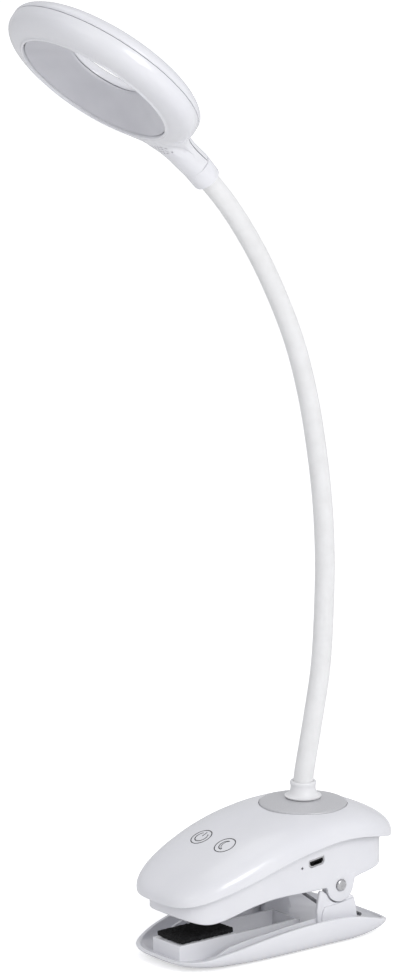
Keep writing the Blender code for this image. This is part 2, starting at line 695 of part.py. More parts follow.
def base_collar():
    """Flared ferrule that the gooseneck rises from."""
    low = disc_height(COLLAR_RADIUS) + GAP
    bore = NECK_SLEEVE_RADIUS + GAP
    neck = 5.4 * MM
    flare = []
    for i in range(6):
        turn = pi / 2 * i / 5
        radius = COLLAR_RADIUS - (COLLAR_RADIUS - neck) * sin(turn)
        flare.append((radius, low + 0.5 * MM + 4.2 * MM * (1 - cos(turn))))
    inner_low = disc_height(bore) + GAP
    profile = [(bore, inner_low), (COLLAR_RADIUS - 1.4 * MM, disc_height(COLLAR_RADIUS - 1.4 * MM) + GAP),
               (COLLAR_RADIUS, low)] + flare + [(neck, COLLAR_TOP - 0.3 * MM), (neck - 0.3 * MM, COLLAR_TOP),
                                                (bore, COLLAR_TOP)]
    return turned(profile, 24)


def neck_nut():
    """Hexagon nut that clamps the foot of the gooseneck under the cover."""
    bore = (NECK_CONDUIT_RADIUS + GAP) / cos(pi / 6)
    return turned([(bore, 51.2 * MM), (8.0 * MM, 51.2 * MM), (8.0 * MM, 55.6 * MM), (bore, 55.6 * MM)], 6)


def battery_cell():
    floor = smooth_line(HOUSING_FLOOR)
    slope = atan2(floor(-30 * MM) - floor(-60 * MM), 30 * MM)
    rest = floor(-47 * MM) + HOUSING_FLOOR_THICKNESS + 2.4 * MM
    placing = Matrix.Translation((0, -46.5 * MM, rest)) @ Matrix.Rotation(slope, 4, "X")
    return block((-15 * MM, -18 * MM, 0.0), (15 * MM, 17.5 * MM, 9.0 * MM), placing=placing, bevel=1.5 * MM)


def main_board():
    board = block((-14 * MM, -16 * MM, 44.6 * MM), (14 * MM, 18 * MM, 45.8 * MM))
    chips = [block((-5 * MM, -10 * MM, 45.5 * MM), (4 * MM, -4 * MM, 47.2 * MM)),
             block((-9 * MM, 4 * MM, 45.5 * MM), (-3 * MM, 10 * MM, 48.2 * MM)),
             block((3 * MM, 6 * MM, 45.5 * MM), (9 * MM, 10 * MM, 47.0 * MM))]
    return with_added(board, *chips)


def charge_board():
    low, high = (13.6 * MM, -9.0 * MM, -3.1 * MM), (21.8 * MM, 9.5 * MM, -2.1 * MM)
    return block(low, high, placing=socket_placing())


def usb_socket():
    shell = plate(socket_outline(7.9 * MM, 2.9 * MM), 18.6 * MM, 24.1 * MM)
    hollow = plate(socket_outline(7.2 * MM, 2.2 * MM), 19.0 * MM, 25.0 * MM)
    shell = with_cut(shell, hollow)
    bmesh.ops.transform(shell, matrix=socket_placing(), verts=shell.verts)
    return shell


def usb_tongue():
    return block((19.3 * MM, -2.6 * MM, 0.1 * MM), (23.2 * MM, 2.6 * MM, 0.7 * MM), placing=socket_placing())


def charge_led():
    """Light pipe that shows the charging lamp through the side wall."""
    return rod(0.35 * MM, (21.0 * MM, -20.5 * MM, 37.7 * MM), (24.3 * MM, -20.5 * MM, 37.7 * MM), 8)


TOUCH_PLACES = {"power_touch_spring": (-8.0, -49.6), "moon_touch_spring": (8.0, -49.6)}


def touch_height(y):
    crown = smooth_line(COVER_CROWN)
    return crown(y) - COVER_WALL


def touch_board():
    slope = atan2(touch_height(-42 * MM) - touch_height(-56 * MM), 14 * MM)
    middle = (0, -49 * MM, touch_height(-49 * MM) - 8.0 * MM)
    placing = Matrix.Translation(middle) @ Matrix.Rotation(slope, 4, "X")
    return block((-12 * MM, -6.5 * MM, -1.0 * MM), (12 * MM, 6.5 * MM, 0.0), placing=placing)


def touch_spring(x_mm, y_mm):
    """Sensing spring between the touch board and the cover."""
    slope = atan2(touch_height(-42 * MM) - touch_height(-56 * MM), 14 * MM)
    y = y_mm * MM
    base = touch_height(-49 * MM) - 8.0 * MM + (y + 49 * MM) * tan(slope)
    low, high = base + 0.9 * MM, touch_height(y) - 4.0 * MM
    bore, rim = 1.6 * MM, 2.6 * MM
    return turned([(bore, low), (rim, low), (rim, high), (bore, high)], 12,
                  Matrix.Translation((x_mm * MM, y, 0)))


def housing_screw(x_mm, y_mm):
    """Screw from below the housing's floor into a boss of the cover."""
    floor = smooth_line(HOUSING_FLOOR)
    y = y_mm * MM
    under = floor(y) - 0.9 * MM
    profile = [(0, under - 1.2 * MM), (1.9 * MM, under - 1.2 * MM), (2.3 * MM, under - 0.7 * MM),
               (2.3 * MM, under), (1.1 * MM, under), (1.1 * MM, under + 9 * MM), (0.5 * MM, under + 10 * MM),
               (0, under + 10 * MM)]
    return turned(profile, 12, Matrix.Translation((x_mm * MM, y, 0)))


# ---------------------------------------------------------------- gooseneck

def neck_curve():
    """Dense points of the centre line, from a smooth curve through NECK_LINE."""
    stations = [Vector((0, y * MM, z * MM)) for y, z in NECK_LINE]
    points = []
    for i in range(len(stations) - 1):
        before = stations[max(i - 1, 0)]
        after = stations[min(i + 2, len(stations) - 1)]
        start, end = stations[i], stations[i + 1]
        for k in range(24):
            t = k / 24
            points.append(0.5 * (2 * start + (end - before) * t
                                 + (2 * before - 5 * start + 4 * end - after) * t * t
                                 + (3 * start - before - 3 * end + after) * t ** 3))
    points.append(stations[-1])
    return points


def neck_joints():
    """Ends and joint centres of the segments: the foot, the joints at equal spacing, and the head end."""
    curve = neck_curve()
    lengths = [0.0]
    for before, after in zip(curve, curve[1:]):
        lengths.append(lengths[-1] + (after - before).length)

    def at_height(z):
        i = max(k for k in range(len(curve) - 1) if curve[k].z <= z)
        t = (z - curve[i].z) / (curve[i + 1].z - curve[i].z)
        return lengths[i] + t * (lengths[i + 1] - lengths[i])

    def at_length(along):
        i = max(k for k in range(len(curve) - 1) if lengths[k] <= along)
        t = (along - lengths[i]) / (lengths[i + 1] - lengths[i])
        return curve[i].lerp(curve[i + 1], t)

    first, last = at_height(NECK_FIRST_JOINT_Z), at_height(NECK_LAST_JOINT_Z)
    count = NECK_SEGMENTS - 1
    joints = [at_length(first + (last - first) * i / (count - 1)) for i in range(count)]
    return [curve[0]] + joints + [curve[-1]]


def neck_piece(outer, bore, start, end, start_free, end_free, sides):
    """A straight tube between two points; its free ends are coned so that it can swing on its neighbour."""
    along = end - start
    length = along.length
    drop = outer * tan(NECK_JOINT_SWING)
    core = bore * tan(NECK_JOINT_SWING)
    low_out, low_in = (NECK_JOINT_PITCH + drop, NECK_JOINT_PITCH + core) if start_free else (0.0, 0.0)
    high_out, high_in = (NECK_JOINT_PITCH + drop, NECK_JOINT_PITCH + core) if end_free else (0.0, 0.0)
    profile = [(bore, low_in), (outer, low_out), (outer, length - high_out), (bore, length - high_in)]
    placing = Matrix.Translation(start) @ along.to_track_quat("Z", "Y").to_matrix().to_4x4()
    return turned(profile, sides, placing)


def neck_sleeve(ends, index):
    start, end = ends[index], ends[index + 1]
    first, last = index == 0, index == NECK_SEGMENTS - 1
    along = (end - start).normalized()
    if first:
        start = start + along * (DISC_TOP + 1.2 * MM - start.z)
    if last:
        end = end - along * 1.0 * MM
    return neck_piece(NECK_SLEEVE_RADIUS, NECK_SLEEVE_BORE, start, end, not first, not last, 16)


def neck_conduit(ends, index):
    start, end = ends[index], ends[index + 1]
    first, last = index == 0, index == NECK_SEGMENTS - 1
    return neck_piece(NECK_CONDUIT_RADIUS, NECK_CONDUIT_BORE, start, end, not first, not last, 12)


# ---------------------------------------------------------------- ring head

def head_placing():
    return Matrix.Translation(HEAD_CENTRE) @ Matrix.Rotation(-HEAD_TILT, 4, "X")


def head_outline():
    """Plan of the head: a circle that flows through two fillets into a narrow neck along +Y."""
    fillet_x = HEAD_NECK_HALF_WIDTH + HEAD_NECK_FILLET
    fillet_y = sqrt((HEAD_RADIUS + HEAD_NECK_FILLET) ** 2 - fillet_x ** 2)
    touch = atan2(fillet_x, fillet_y)
    half = [(HEAD_NECK_HALF_WIDTH * share, HEAD_NECK_END) for share in (0.0, 0.4, 0.7, 0.9, 1.0)]
    half.append((HEAD_NECK_HALF_WIDTH, (HEAD_NECK_END + fillet_y) / 2))
    fillet_end = acos(fillet_x / (HEAD_RADIUS + HEAD_NECK_FILLET))
    for i in range(6):
        turn = pi + fillet_end * i / 5
        half.append((fillet_x + HEAD_NECK_FILLET * cos(turn), fillet_y + HEAD_NECK_FILLET * sin(turn)))
    steps = 17
    for i in range(1, steps + 1):
        turn = touch + (pi - touch) * i / steps
        half.append((HEAD_RADIUS * sin(turn), HEAD_RADIUS * cos(turn)))
    mirrored = [(-x, y) for x, y in reversed(half[1:-1])]
    return half + mirrored


def neck_share(y):
    """0 where the head is a ring, 1 where it is a round neck, and smoothly between."""
    t = min(max((y - HEAD_NECK_START) / (HEAD_NECK_END - 6 * MM - HEAD_NECK_START), 0.0), 1.0)
    return t * t * (3 - 2 * t)


def neck_height(x, side):
    """Height of the round neck's underside (side -1) or top (side 1) at a place across it."""
    across = min(abs(x) / HEAD_NECK_HALF_WIDTH, 1.0)
    return HEAD_NECK_Z + side * HEAD_NECK_RISE * sqrt(1 - across * across)


def head_ring(outline, inner_radius, share, z, inset=0.0, side=0):
    """Ring of points a given share of the way from a circle of inner_radius to the outline."""
    ring = []
    for x, y in outline:
        reach = hypot(x, y)
        radius = inner_radius + (reach - inset - inner_radius) * share
        x, y = x / reach * radius, y / reach * radius
        blend = neck_share(y) if side else 0.0
        if side < 0:
            round_z = min(neck_height(x, side) + inset, HEAD_BELLY_Z)
        else:
            round_z = max(neck_height(x, side) - inset, HEAD_SEAM_Z + GAP)
        ring.append((x, y, z * (1 - blend) + round_z * blend))
    return ring


def placed_in_head(bm):
    bmesh.ops.transform(bm, matrix=head_placing(), verts=bm.verts)
    return bm


def head_lower_shell():
    """Rounded underside between the light opening and the seam."""
    outline = head_outline()
    opening, wall = HEAD_OPENING_RADIUS, HEAD_WALL
    outer = [(sin(radians(a)), HEAD_BELLY_Z * (1 - cos(radians(a)))) for a in (0, 20, 40, 60, 76, 90)]
    rings = [head_ring(outline, opening, share, z, 0.0, -1) for share, z in outer]
    rings.append(head_ring(outline, opening, 0.99, HEAD_SEAM_Z))
    rings.append(head_ring(outline, opening, 0.99, HEAD_SEAM_Z, wall))
    rings.append(head_ring(outline, opening, 1.0, HEAD_BELLY_Z + 0.4 * MM, wall))
    for angle in (60, 30, 0):
        share, z = sin(radians(angle)), HEAD_BELLY_Z * (1 - cos(radians(angle)))
        rings.append(head_ring(outline, opening, share, wall + z * 0.8, wall, -1))
    return placed_in_head(lofted(rings, False, False))


def head_top_shell():
    """Rounded back of the head, from the seam over the crown to the central hole."""
    outline = head_outline()
    crown, hole, wall = HEAD_CROWN_RADIUS, HEAD_HOLE_RADIUS, HEAD_WALL
    seam = HEAD_SEAM_Z + GAP
    rise = HEAD_CROWN_Z - seam
    rings = [head_ring(outline, crown, 1.0, seam)]
    over = [(cos(radians(a)), seam + rise * sin(radians(a))) for a in (6, 18, 36, 54, 72, 90)]
    rings += [head_ring(outline, crown, share, z, 0.0, 1) for share, z in over]
    lip = HEAD_CROWN_Z - HEAD_HOLE_Z - 1.6 * MM
    for angle in (35, 65, 90):
        radius = crown - (crown - hole) * sin(radians(angle))
        z = HEAD_CROWN_Z - lip * (1 - cos(radians(angle)))
        rings.append([(x / hypot(x, y) * radius, y / hypot(x, y) * radius, z) for x, y in outline])
    inner_lip = HEAD_HOLE_Z + 0.9 * MM
    rings.append([(x / hypot(x, y) * hole, y / hypot(x, y) * hole, inner_lip) for x, y in outline])
    back = hole + wall
    rings.append([(x / hypot(x, y) * back, y / hypot(x, y) * back, inner_lip) for x, y in outline])
    rings.append(head_ring(outline, crown, 0.0, HEAD_CROWN_Z - wall))
    for angle in (50, 10):
        rings.append(head_ring(outline, crown, cos(radians(angle)),
                               seam + (rise - wall) * sin(radians(angle)), wall, 1))
    rings.append(head_ring(outline, crown, 1.0, seam, wall))
    return placed_in_head(lofted(rings, False, False))


def cone_diffuser():
    """Frosted cone that spreads the light, from the opening up to the central hole."""
    rim = HEAD_OPENING_RADIUS - GAP
    top = HEAD_HOLE_Z
    lip = top + 0.5 * MM
    profile = [(rim, 0.6 * MM), (rim, 1.6 * MM), (HEAD_HOLE_RADIUS + 0.8 * MM, lip), (HEAD_HOLE_RADIUS, lip),
               (HEAD_HOLE_RADIUS, top - 0.4 * MM)]
    return placed_in_head(turned(profile, 44))


def led_ring_board():
    inner, outer, low, high = 25 * MM, 39 * MM, 9.6 * MM, 10.6 * MM
    board = turned([(inner, low), (outer, low), (outer, high), (inner, high)], 40)
    lamps = []
    for i in range(LED_COUNT):
        turn = Matrix.Rotation(2 * pi * (i + 0.5) / LED_COUNT, 4, "Z")
        lamps.append(block((29 * MM, -1.4 * MM, 8.9 * MM), (32 * MM, 1.4 * MM, 9.8 * MM), placing=turn))
    return placed_in_head(with_added(board, *lamps))


def head_collar(end):
    """Collar where the gooseneck enters the neck of the head."""
    start = head_placing() @ Vector((0, HEAD_NECK_END + GAP, HEAD_NECK_Z))
    along = (end - start).normalized()
    start = start + along * 1.2 * MM
    far = start + along * 7.6 * MM
    bore = NECK_SLEEVE_RADIUS + GAP
    length = (far - start).length
    profile = [(bore, 0), (5.9 * MM, 0), (6.2 * MM, 0.4 * MM), (6.0 * MM, length - 0.5 * MM),
               (5.6 * MM, length), (bore, length)]
    placing = Matrix.Translation(start) @ along.to_track_quat("Z", "Y").to_matrix().to_4x4()
    return turned(profile, 24, placing)


# ---------------------------------------------------------------- assembly

def build_lower_jaw():
    root = make_pivot("lower_jaw", (0, 0, 0))
    place("lower_tray", lower_tray(), WHITE_GLOSS, root)
    place("lower_foam_pad", lower_foam(), BLACK_FOAM, root)
    place("hinge_pin", hinge_pin(), STEEL, root)
    place("pin_cap", pin_cap(), STEEL, root)
    place_spring("torsion_spring", SPRING_STEEL, root)
    for i, (x_mm, y_mm) in enumerate(FEET):
        place(f"foot_pad_{i + 1}", foot_pad(x_mm, y_mm), GRIP_RUBBER, root)
    return root


def build_upper_jaw(root):
    jaw = make_pivot("clip_pivot", (0, PIN_Y, PIN_Z), root)
    place("top_cover", top_cover(), WHITE_GLOSS, jaw)
    place("lower_housing", lower_housing(), WHITE_GLOSS, jaw)
    place("upper_foam_pad", upper_foam(), BLACK_FOAM, jaw)
    place("base_disc", base_disc(), GREY_TRIM, jaw)
    place("base_collar", base_collar(), WHITE_SATIN, jaw)
    place("neck_nut", neck_nut(), STEEL, jaw)
    place("battery_cell", battery_cell(), BATTERY_BLUE, jaw)
    place("main_board", main_board(), BOARD_GREEN, jaw)
    place("charge_board", charge_board(), BOARD_GREEN, jaw)
    place("usb_socket", usb_socket(), STEEL, jaw)
    place("usb_tongue", usb_tongue(), BLACK_PLASTIC, jaw)
    place("charge_led", charge_led(), LAMP_CLEAR, jaw)
    place("touch_board", touch_board(), BOARD_GREEN, jaw)
    for name, (x_mm, y_mm) in TOUCH_PLACES.items():
        place(name, touch_spring(x_mm, y_mm), SPRING_STEEL, jaw)
    for i, (x_mm, y_mm) in enumerate(SCREW_PLACES):
        place(f"housing_screw_{i + 1}", housing_screw(x_mm, y_mm), STEEL, jaw)
    return jaw


def build_gooseneck(jaw):
    """Segments in a chain; the first is clamped in the base and the last in the head."""
    ends = neck_joints()
    pivot = jaw
    for index in range(NECK_SEGMENTS):
        if index:
            pivot = make_pivot(f"neck_pivot_{index:02d}", ends[index], pivot)
        place(f"neck_sleeve_{index + 1:02d}", neck_sleeve(ends, index), SLEEVE_WHITE, pivot)
        place(f"neck_conduit_{index + 1:02d}", neck_conduit(ends, index), STEEL, pivot)
    return pivot, ends


def build_head(pivot, ends):
    place("head_collar", head_collar(ends[-2]), WHITE_GLOSS, pivot)
    place("head_lower_shell", head_lower_shell(), WHITE_GLOSS, pivot)
    place("head_top_shell", head_top_shell(), WHITE_GLOSS, pivot)
    place("cone_diffuser", cone_diffuser(), DIFFUSER, pivot)
    place("led_ring_board", led_ring_board(), BOARD_WHITE, pivot)


def main():
    clear_scene()
    root = build_lower_jaw()
    jaw = build_upper_jaw(root)
    pivot, ends = build_gooseneck(jaw)
    build_head(pivot, ends)


main()
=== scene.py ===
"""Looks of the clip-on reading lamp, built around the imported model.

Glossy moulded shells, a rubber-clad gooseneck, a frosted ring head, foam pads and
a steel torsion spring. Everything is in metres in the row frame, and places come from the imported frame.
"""

import json
from math import acos, atan2, cos, hypot, pi, radians, sin, sqrt, tan

import bmesh
import bpy
from mathutils import Matrix, Vector, noise

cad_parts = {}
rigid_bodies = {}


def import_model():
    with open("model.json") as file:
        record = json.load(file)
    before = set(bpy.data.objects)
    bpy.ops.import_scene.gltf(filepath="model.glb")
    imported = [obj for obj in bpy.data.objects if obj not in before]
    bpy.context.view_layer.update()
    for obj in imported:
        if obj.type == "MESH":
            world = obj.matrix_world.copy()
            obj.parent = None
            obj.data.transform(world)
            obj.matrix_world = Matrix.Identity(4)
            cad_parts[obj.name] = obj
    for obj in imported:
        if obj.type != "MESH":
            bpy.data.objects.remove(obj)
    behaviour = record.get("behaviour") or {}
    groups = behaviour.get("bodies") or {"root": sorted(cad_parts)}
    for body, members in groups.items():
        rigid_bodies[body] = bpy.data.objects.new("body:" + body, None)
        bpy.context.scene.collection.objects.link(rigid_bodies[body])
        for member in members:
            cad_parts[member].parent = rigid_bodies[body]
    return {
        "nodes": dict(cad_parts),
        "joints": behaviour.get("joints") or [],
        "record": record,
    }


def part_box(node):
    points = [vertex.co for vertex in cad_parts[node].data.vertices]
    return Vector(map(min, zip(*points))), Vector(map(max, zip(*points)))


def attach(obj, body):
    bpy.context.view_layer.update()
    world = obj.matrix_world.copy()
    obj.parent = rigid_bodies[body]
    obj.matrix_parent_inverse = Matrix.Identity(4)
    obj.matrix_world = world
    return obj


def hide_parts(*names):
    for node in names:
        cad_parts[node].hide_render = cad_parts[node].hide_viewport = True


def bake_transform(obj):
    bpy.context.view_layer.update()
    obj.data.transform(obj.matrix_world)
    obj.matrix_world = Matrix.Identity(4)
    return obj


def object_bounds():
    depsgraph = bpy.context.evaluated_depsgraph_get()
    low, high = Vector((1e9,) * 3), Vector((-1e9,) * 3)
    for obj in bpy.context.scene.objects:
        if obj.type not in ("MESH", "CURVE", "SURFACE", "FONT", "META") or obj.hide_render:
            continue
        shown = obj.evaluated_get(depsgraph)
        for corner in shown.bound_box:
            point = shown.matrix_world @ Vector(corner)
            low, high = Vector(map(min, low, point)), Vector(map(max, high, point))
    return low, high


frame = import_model()
cad_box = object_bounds()

MM = 0.001
GAP = 0.3 * MM

# Camera, in the row frame.
CAMERA_YAW = 51.558
CAMERA_PITCH = 12.011
CAMERA_PLACE = (1.46027, -1.21557, 0.60125)
CAMERA_LENS = 169.1
SENSOR_WIDTH = 36.0

# Studio: softboxes as (name, azimuth, elevation, distance, size, watts), the world's strength, and the floor.
SOFTBOXES = [("key_right", 88, 24, 1.5, 0.7, 8.8), ("fill_front", 10, 25, 1.8, 1.0, 1.5),
             ("top_back", 250, 65, 1.6, 0.9, 1.6)]
WORLD_STRENGTH = 0.64
FLOOR_REACH = 30.0
FLOOR_GLOW = 0.5

# Body shells: superellipse plans, blunter at the nose than at the tail. Lines are (y, z) stations in mm.
OUTLINE_POINTS = 180
OUTLINE_STEPS = 1440
NOSE_POWER = 3.6
COVER_TAIL_POWER = 2.25
COVER_WALL = 2.2 * MM
COVER_DOME_POWER = 3.0
COVER_EDGE = [(-82, 28.0), (-55, 36.6), (-25, 45.0), (5, 48.0), (42, 39.6)]
COVER_CROWN = [(-82, 40.0), (-60, 48.3), (-38, 54.9), (-15, 58.2), (0, 58.6), (15, 58.4), (30, 55.6),
               (42, 51.0)]
HOUSING_NOSE_POWER = 4.0
HOUSING_TAIL_POWER = 2.8
HOUSING_WALL = 2.0 * MM
HOUSING_LIP = 0.9 * MM
HOUSING_OVERLAP = 1.2 * MM
HOUSING_SPREAD = 1.08
HOUSING_SKIRT = [(-76, 22.3), (-68, 20.2), (-62, 20.8), (-48, 24.7), (-34, 26.6), (-10, 26.2), (2, 26.6),
                 (14, 28.8), (35, 29.6)]
HOUSING_FLOOR = [(-76, 22.9), (-62, 23.0), (-45, 26.8), (-25, 32.0), (-8, 34.0), (10, 34.0), (35, 33.0)]
TRAY_TAIL_POWER = 2.8
TRAY_WALL = 1.8 * MM
TRAY_FLOOR = 2.0 * MM
TRAY_RIM = [(-82, 5.0), (-72, 6.2), (-60, 8.9), (-43, 12.0), (-25, 13.8), (-5, 13.8), (6, 12.6), (18, 9.4),
            (28, 6.0), (36, 3.2)]
TRAY_FOOT_WIDTH = 0.64
TRAY_FOOT_NOSE = 0.70
TRAY_FOOT_TAIL = 0.50

# Charging socket: width and height of its mouth, its shell, the hollow and the insulator.
SOCKET_MOUTH = (8.6 * MM, 3.6 * MM)
SOCKET_SHELL = (8.2 * MM, 3.2 * MM)
SOCKET_HOLLOW = (7.3 * MM, 2.3 * MM)
SOCKET_INSULATOR = (7.2 * MM, 2.2 * MM)
LED_HOLE = 0.62 * MM
WALL_INSIDE = 20 * MM
WALL_OUTSIDE = 27 * MM

# Foam pads.
FOAM_CELL = 0.5 * MM
FOAM_CORNER = 0.55 * MM
FOAM_GRAIN = 1.1 * MM
UPPER_PAD_HALF_LENGTH = 13.4 * MM
UPPER_PAD_DEPTH = 1.4 * MM

# Block and rib frame under the lower pad, and the low inner walls of the tray.
FRAME_HALF_WIDTH = 9.3 * MM
FRAME_WALL = 1.4 * MM
FIN_BEND_START = 30 * MM
FIN_LENGTH = 36 * MM
FIN_BEND = 5.0 * MM

# Hinge and spring of the clip.
PIN_BORE = 2.2 * MM
PIN_HEAD_SEAT = 2.75 * MM
LUG_RADIUS = 7.3 * MM
EAR_ARC_RADIUS = 7.9 * MM
CARRIER_RADIUS = 5.6 * MM
SPRING_WIRE = 1.6 * MM
SPRING_RADIUS = 6.0 * MM
SPRING_START_X = -10.0 * MM
SPRING_TURNS = 6
SPRING_PITCH = 1.9 * MM
SPRING_BEND = 1.6 * MM
SPRING_STEPS = 190

# Gooseneck.
SLEEVE_RADIUS = 4.3 * MM
SLEEVE_BORE = 3.4 * MM
CONDUIT_RADIUS = 3.0 * MM
CONDUIT_BORE = 2.3 * MM
CONDUIT_WAVE = 0.15 * MM
CONDUIT_PITCH = 2.0 * MM
SPAN_STEPS = 16

# Ring head, in its own frame: +Z through the ring, +Y to the neck.
HEAD_TILT = radians(40.2)
HEAD_OPENING = 33.1 * MM
HEAD_RADIUS = 43.5 * MM
HEAD_HOLE = 16.5 * MM
HEAD_HOLE_Z = 10.1 * MM
HEAD_BELLY_Z = 7.0 * MM
HEAD_SEAM_Z = 9.2 * MM
HEAD_CROWN = 27.5 * MM
HEAD_CROWN_Z = 16.9 * MM
HEAD_WALL = 1.5 * MM
HEAD_BOARD_Z = 9.75 * MM
HEAD_SHOULDER = 0.985
VENT_Y = 40.5 * MM
VENT_PITCH = (1.9 * MM, 1.7 * MM)
VENT_RADIUS = 0.5 * MM
NECK_HALF_WIDTH = 6.4 * MM
NECK_END = 62.4 * MM
NECK_FILLET = 18.0 * MM
NECK_START = 36.0 * MM
NECK_Z = 6.8 * MM
NECK_RISE = 6.2 * MM

ICON_RADIUS = 4.5 * MM


# ---------------------------------------------------------------- studio

def make_camera():
    data = bpy.data.cameras.new("view")
    data.sensor_width = SENSOR_WIDTH
    data.lens = CAMERA_LENS
    data.clip_start = 0.05
    data.clip_end = 60.0
    made = bpy.data.objects.new("view", data)
    bpy.context.scene.collection.objects.link(made)
    yaw, pitch = radians(CAMERA_YAW), radians(CAMERA_PITCH)
    back = Vector((sin(yaw) * cos(pitch), -cos(yaw) * cos(pitch), sin(pitch)))
    made.location = CAMERA_PLACE
    made.rotation_mode = "QUATERNION"
    made.rotation_quaternion = (-back).to_track_quat("-Z", "Y")
    bpy.context.scene.camera = made


def soft_light(name, azimuth, elevation, distance, size, watts):
    """A square softbox that looks at the middle of the lamp; azimuth 0 stands in front, 90 on the +X side."""
    middle = (cad_box[0] + cad_box[1]) / 2
    turn, rise = radians(azimuth), radians(elevation)
    away = Vector((sin(turn) * cos(rise), -cos(turn) * cos(rise), sin(rise)))
    data = bpy.data.lights.new(name, "AREA")
    data.shape = "SQUARE"
    data.size = size
    data.energy = watts
    made = bpy.data.objects.new(name, data)
    bpy.context.scene.collection.objects.link(made)
    made.location = middle + away * distance
    made.rotation_mode = "QUATERNION"
    made.rotation_quaternion = away.to_track_quat("Z", "Y")


def make_studio():
    """Soft studio light, and a floor of white paper that glows for the camera only."""
    bpy.context.scene.view_settings.view_transform = "Standard"
    world = bpy.data.worlds.new("studio")
    bpy.context.scene.world = world
    world.use_nodes = True
    background = world.node_tree.nodes["Background"]
    background.inputs["Color"].default_value = (0.97, 0.975, 1.0, 1)
    background.inputs["Strength"].default_value = WORLD_STRENGTH
    mesh = bpy.data.meshes.new("floor")
    signs = ((-1, -1), (1, -1), (1, 1), (-1, 1))
    mesh.from_pydata([(x * FLOOR_REACH, y * FLOOR_REACH, 0) for x, y in signs], [], [(0, 1, 2, 3)])
    floor = bpy.data.objects.new("floor", mesh)
    bpy.context.scene.collection.objects.link(floor)
    paper = bpy.data.materials.new("studio_paper")
    paper.use_nodes = True
    shader = paper.node_tree.nodes["Principled BSDF"]
    shader.inputs["Base Color"].default_value = (0.9, 0.9, 0.9, 1)
    shader.inputs["Roughness"].default_value = 0.9
    shader.inputs["Emission Color"].default_value = (1, 1, 1, 1)
    seen = paper.node_tree.nodes.new("ShaderNodeLightPath")
    glow = paper.node_tree.nodes.new("ShaderNodeMath")
    glow.operation = "MULTIPLY"
    glow.inputs[1].default_value = FLOOR_GLOW
    paper.node_tree.links.new(seen.outputs["Is Camera Ray"], glow.inputs[0])
    paper.node_tree.links.new(glow.outputs["Value"], shader.inputs["Emission Strength"])
    mesh.materials.append(paper)
    for softbox in SOFTBOXES:
        soft_light(*softbox)


# ---------------------------------------------------------------- materials

def shader_of(name):
    """A new material, its node tree and its shader."""
    made = bpy.data.materials.new(name)
    made.use_nodes = True
    return made, made.node_tree, made.node_tree.nodes["Principled BSDF"]


def noise_node(tree, scale, detail=3.0, roughness=0.5):
    """Noise in the object's own coordinates, so that it stays with the piece."""
    place = tree.nodes.get("place") or tree.nodes.new("ShaderNodeTexCoord")
    place.name = "place"
    made = tree.nodes.new("ShaderNodeTexNoise")
    made.inputs["Scale"].default_value = scale
    made.inputs["Detail"].default_value = detail
    made.inputs["Roughness"].default_value = roughness
    tree.links.new(place.outputs["Object"], made.inputs["Vector"])
    return made


def spread(tree, source, low, high, socket, from_low=0.35, from_high=0.65):
    """Drive a number socket from a texture value, mapped to low .. high."""
    made = tree.nodes.new("ShaderNodeMapRange")
    made.inputs["From Min"].default_value = from_low
    made.inputs["From Max"].default_value = from_high
    made.inputs["To Min"].default_value = low
    made.inputs["To Max"].default_value = high
    tree.links.new(source, made.inputs["Value"])
    tree.links.new(made.outputs["Result"], socket)


def two_tone(tree, source, dark, light, socket, from_low=0.3, from_high=0.7):
    """Drive a colour socket from a texture value, from dark to light."""
    ramp = tree.nodes.new("ShaderNodeValToRGB")
    ramp.color_ramp.elements[0].position = from_low
    ramp.color_ramp.elements[0].color = (*dark, 1)
    ramp.color_ramp.elements[1].position = from_high
    ramp.color_ramp.elements[1].color = (*light, 1)
    tree.links.new(source, ramp.inputs["Fac"])
    tree.links.new(ramp.outputs["Color"], socket)


def bump(tree, source, shader, depth, strength):
    made = tree.nodes.new("ShaderNodeBump")
    made.inputs["Distance"].default_value = depth
    made.inputs["Strength"].default_value = strength
    tree.links.new(source, made.inputs["Height"])
    tree.links.new(made.outputs["Normal"], shader.inputs["Normal"])


def surface(name, tones, roughness, relief=None, sockets=None):
    """A material whose colour, roughness and relief each follow a grain of (scale, detail, roughness).

    tones is (grain, dark, light), roughness (grain, low, high) and relief (grain, depth, strength). Equal
    grains share one noise node. sockets holds values that are the same all over.
    """
    made, tree, shader = shader_of(name)
    nodes = {}

    def value_of(grain):
        if grain not in nodes:
            nodes[grain] = noise_node(tree, *grain)
        return nodes[grain].outputs["Fac"]

    two_tone(tree, value_of(tones[0]), tones[1], tones[2], shader.inputs["Base Color"])
    spread(tree, value_of(roughness[0]), roughness[1], roughness[2], shader.inputs["Roughness"])
    if relief:
        bump(tree, value_of(relief[0]), shader, relief[1], relief[2])
    for socket, value in (sockets or {}).items():
        shader.inputs[socket].default_value = value
    return made


def milky(weight, radius=(0.003, 0.003, 0.003)):
    """Sockets of a plastic that lets a little light in."""
    return {"Subsurface Weight": weight, "Subsurface Radius": radius, "Subsurface Scale": 0.5}


def white_gloss():
    """Glossy white ABS: faint flow marks, a light orange peel, and hazier patches from handling."""
    coat = {"IOR": 1.5, "Coat Weight": 0.25, "Coat Roughness": 0.08}
    return surface("white_gloss", ((26.0, 4.0), (0.80, 0.802, 0.84), (0.84, 0.842, 0.872)),
                   ((60.0, 5.0), 0.16, 0.27), ((900.0, 2.0), 0.01 * MM, 0.5),
                   {**coat, **milky(0.06, (0.004, 0.004, 0.0045))})


def white_satin():
    """Satin moulded ferrule with a fine spark-eroded grain."""
    grain = (2600.0, 2.0)
    return surface("white_satin", ((90.0, 3.0), (0.83, 0.83, 0.845), (0.87, 0.87, 0.88)), (grain, 0.3, 0.42),
                   (grain, 0.02 * MM, 0.5))


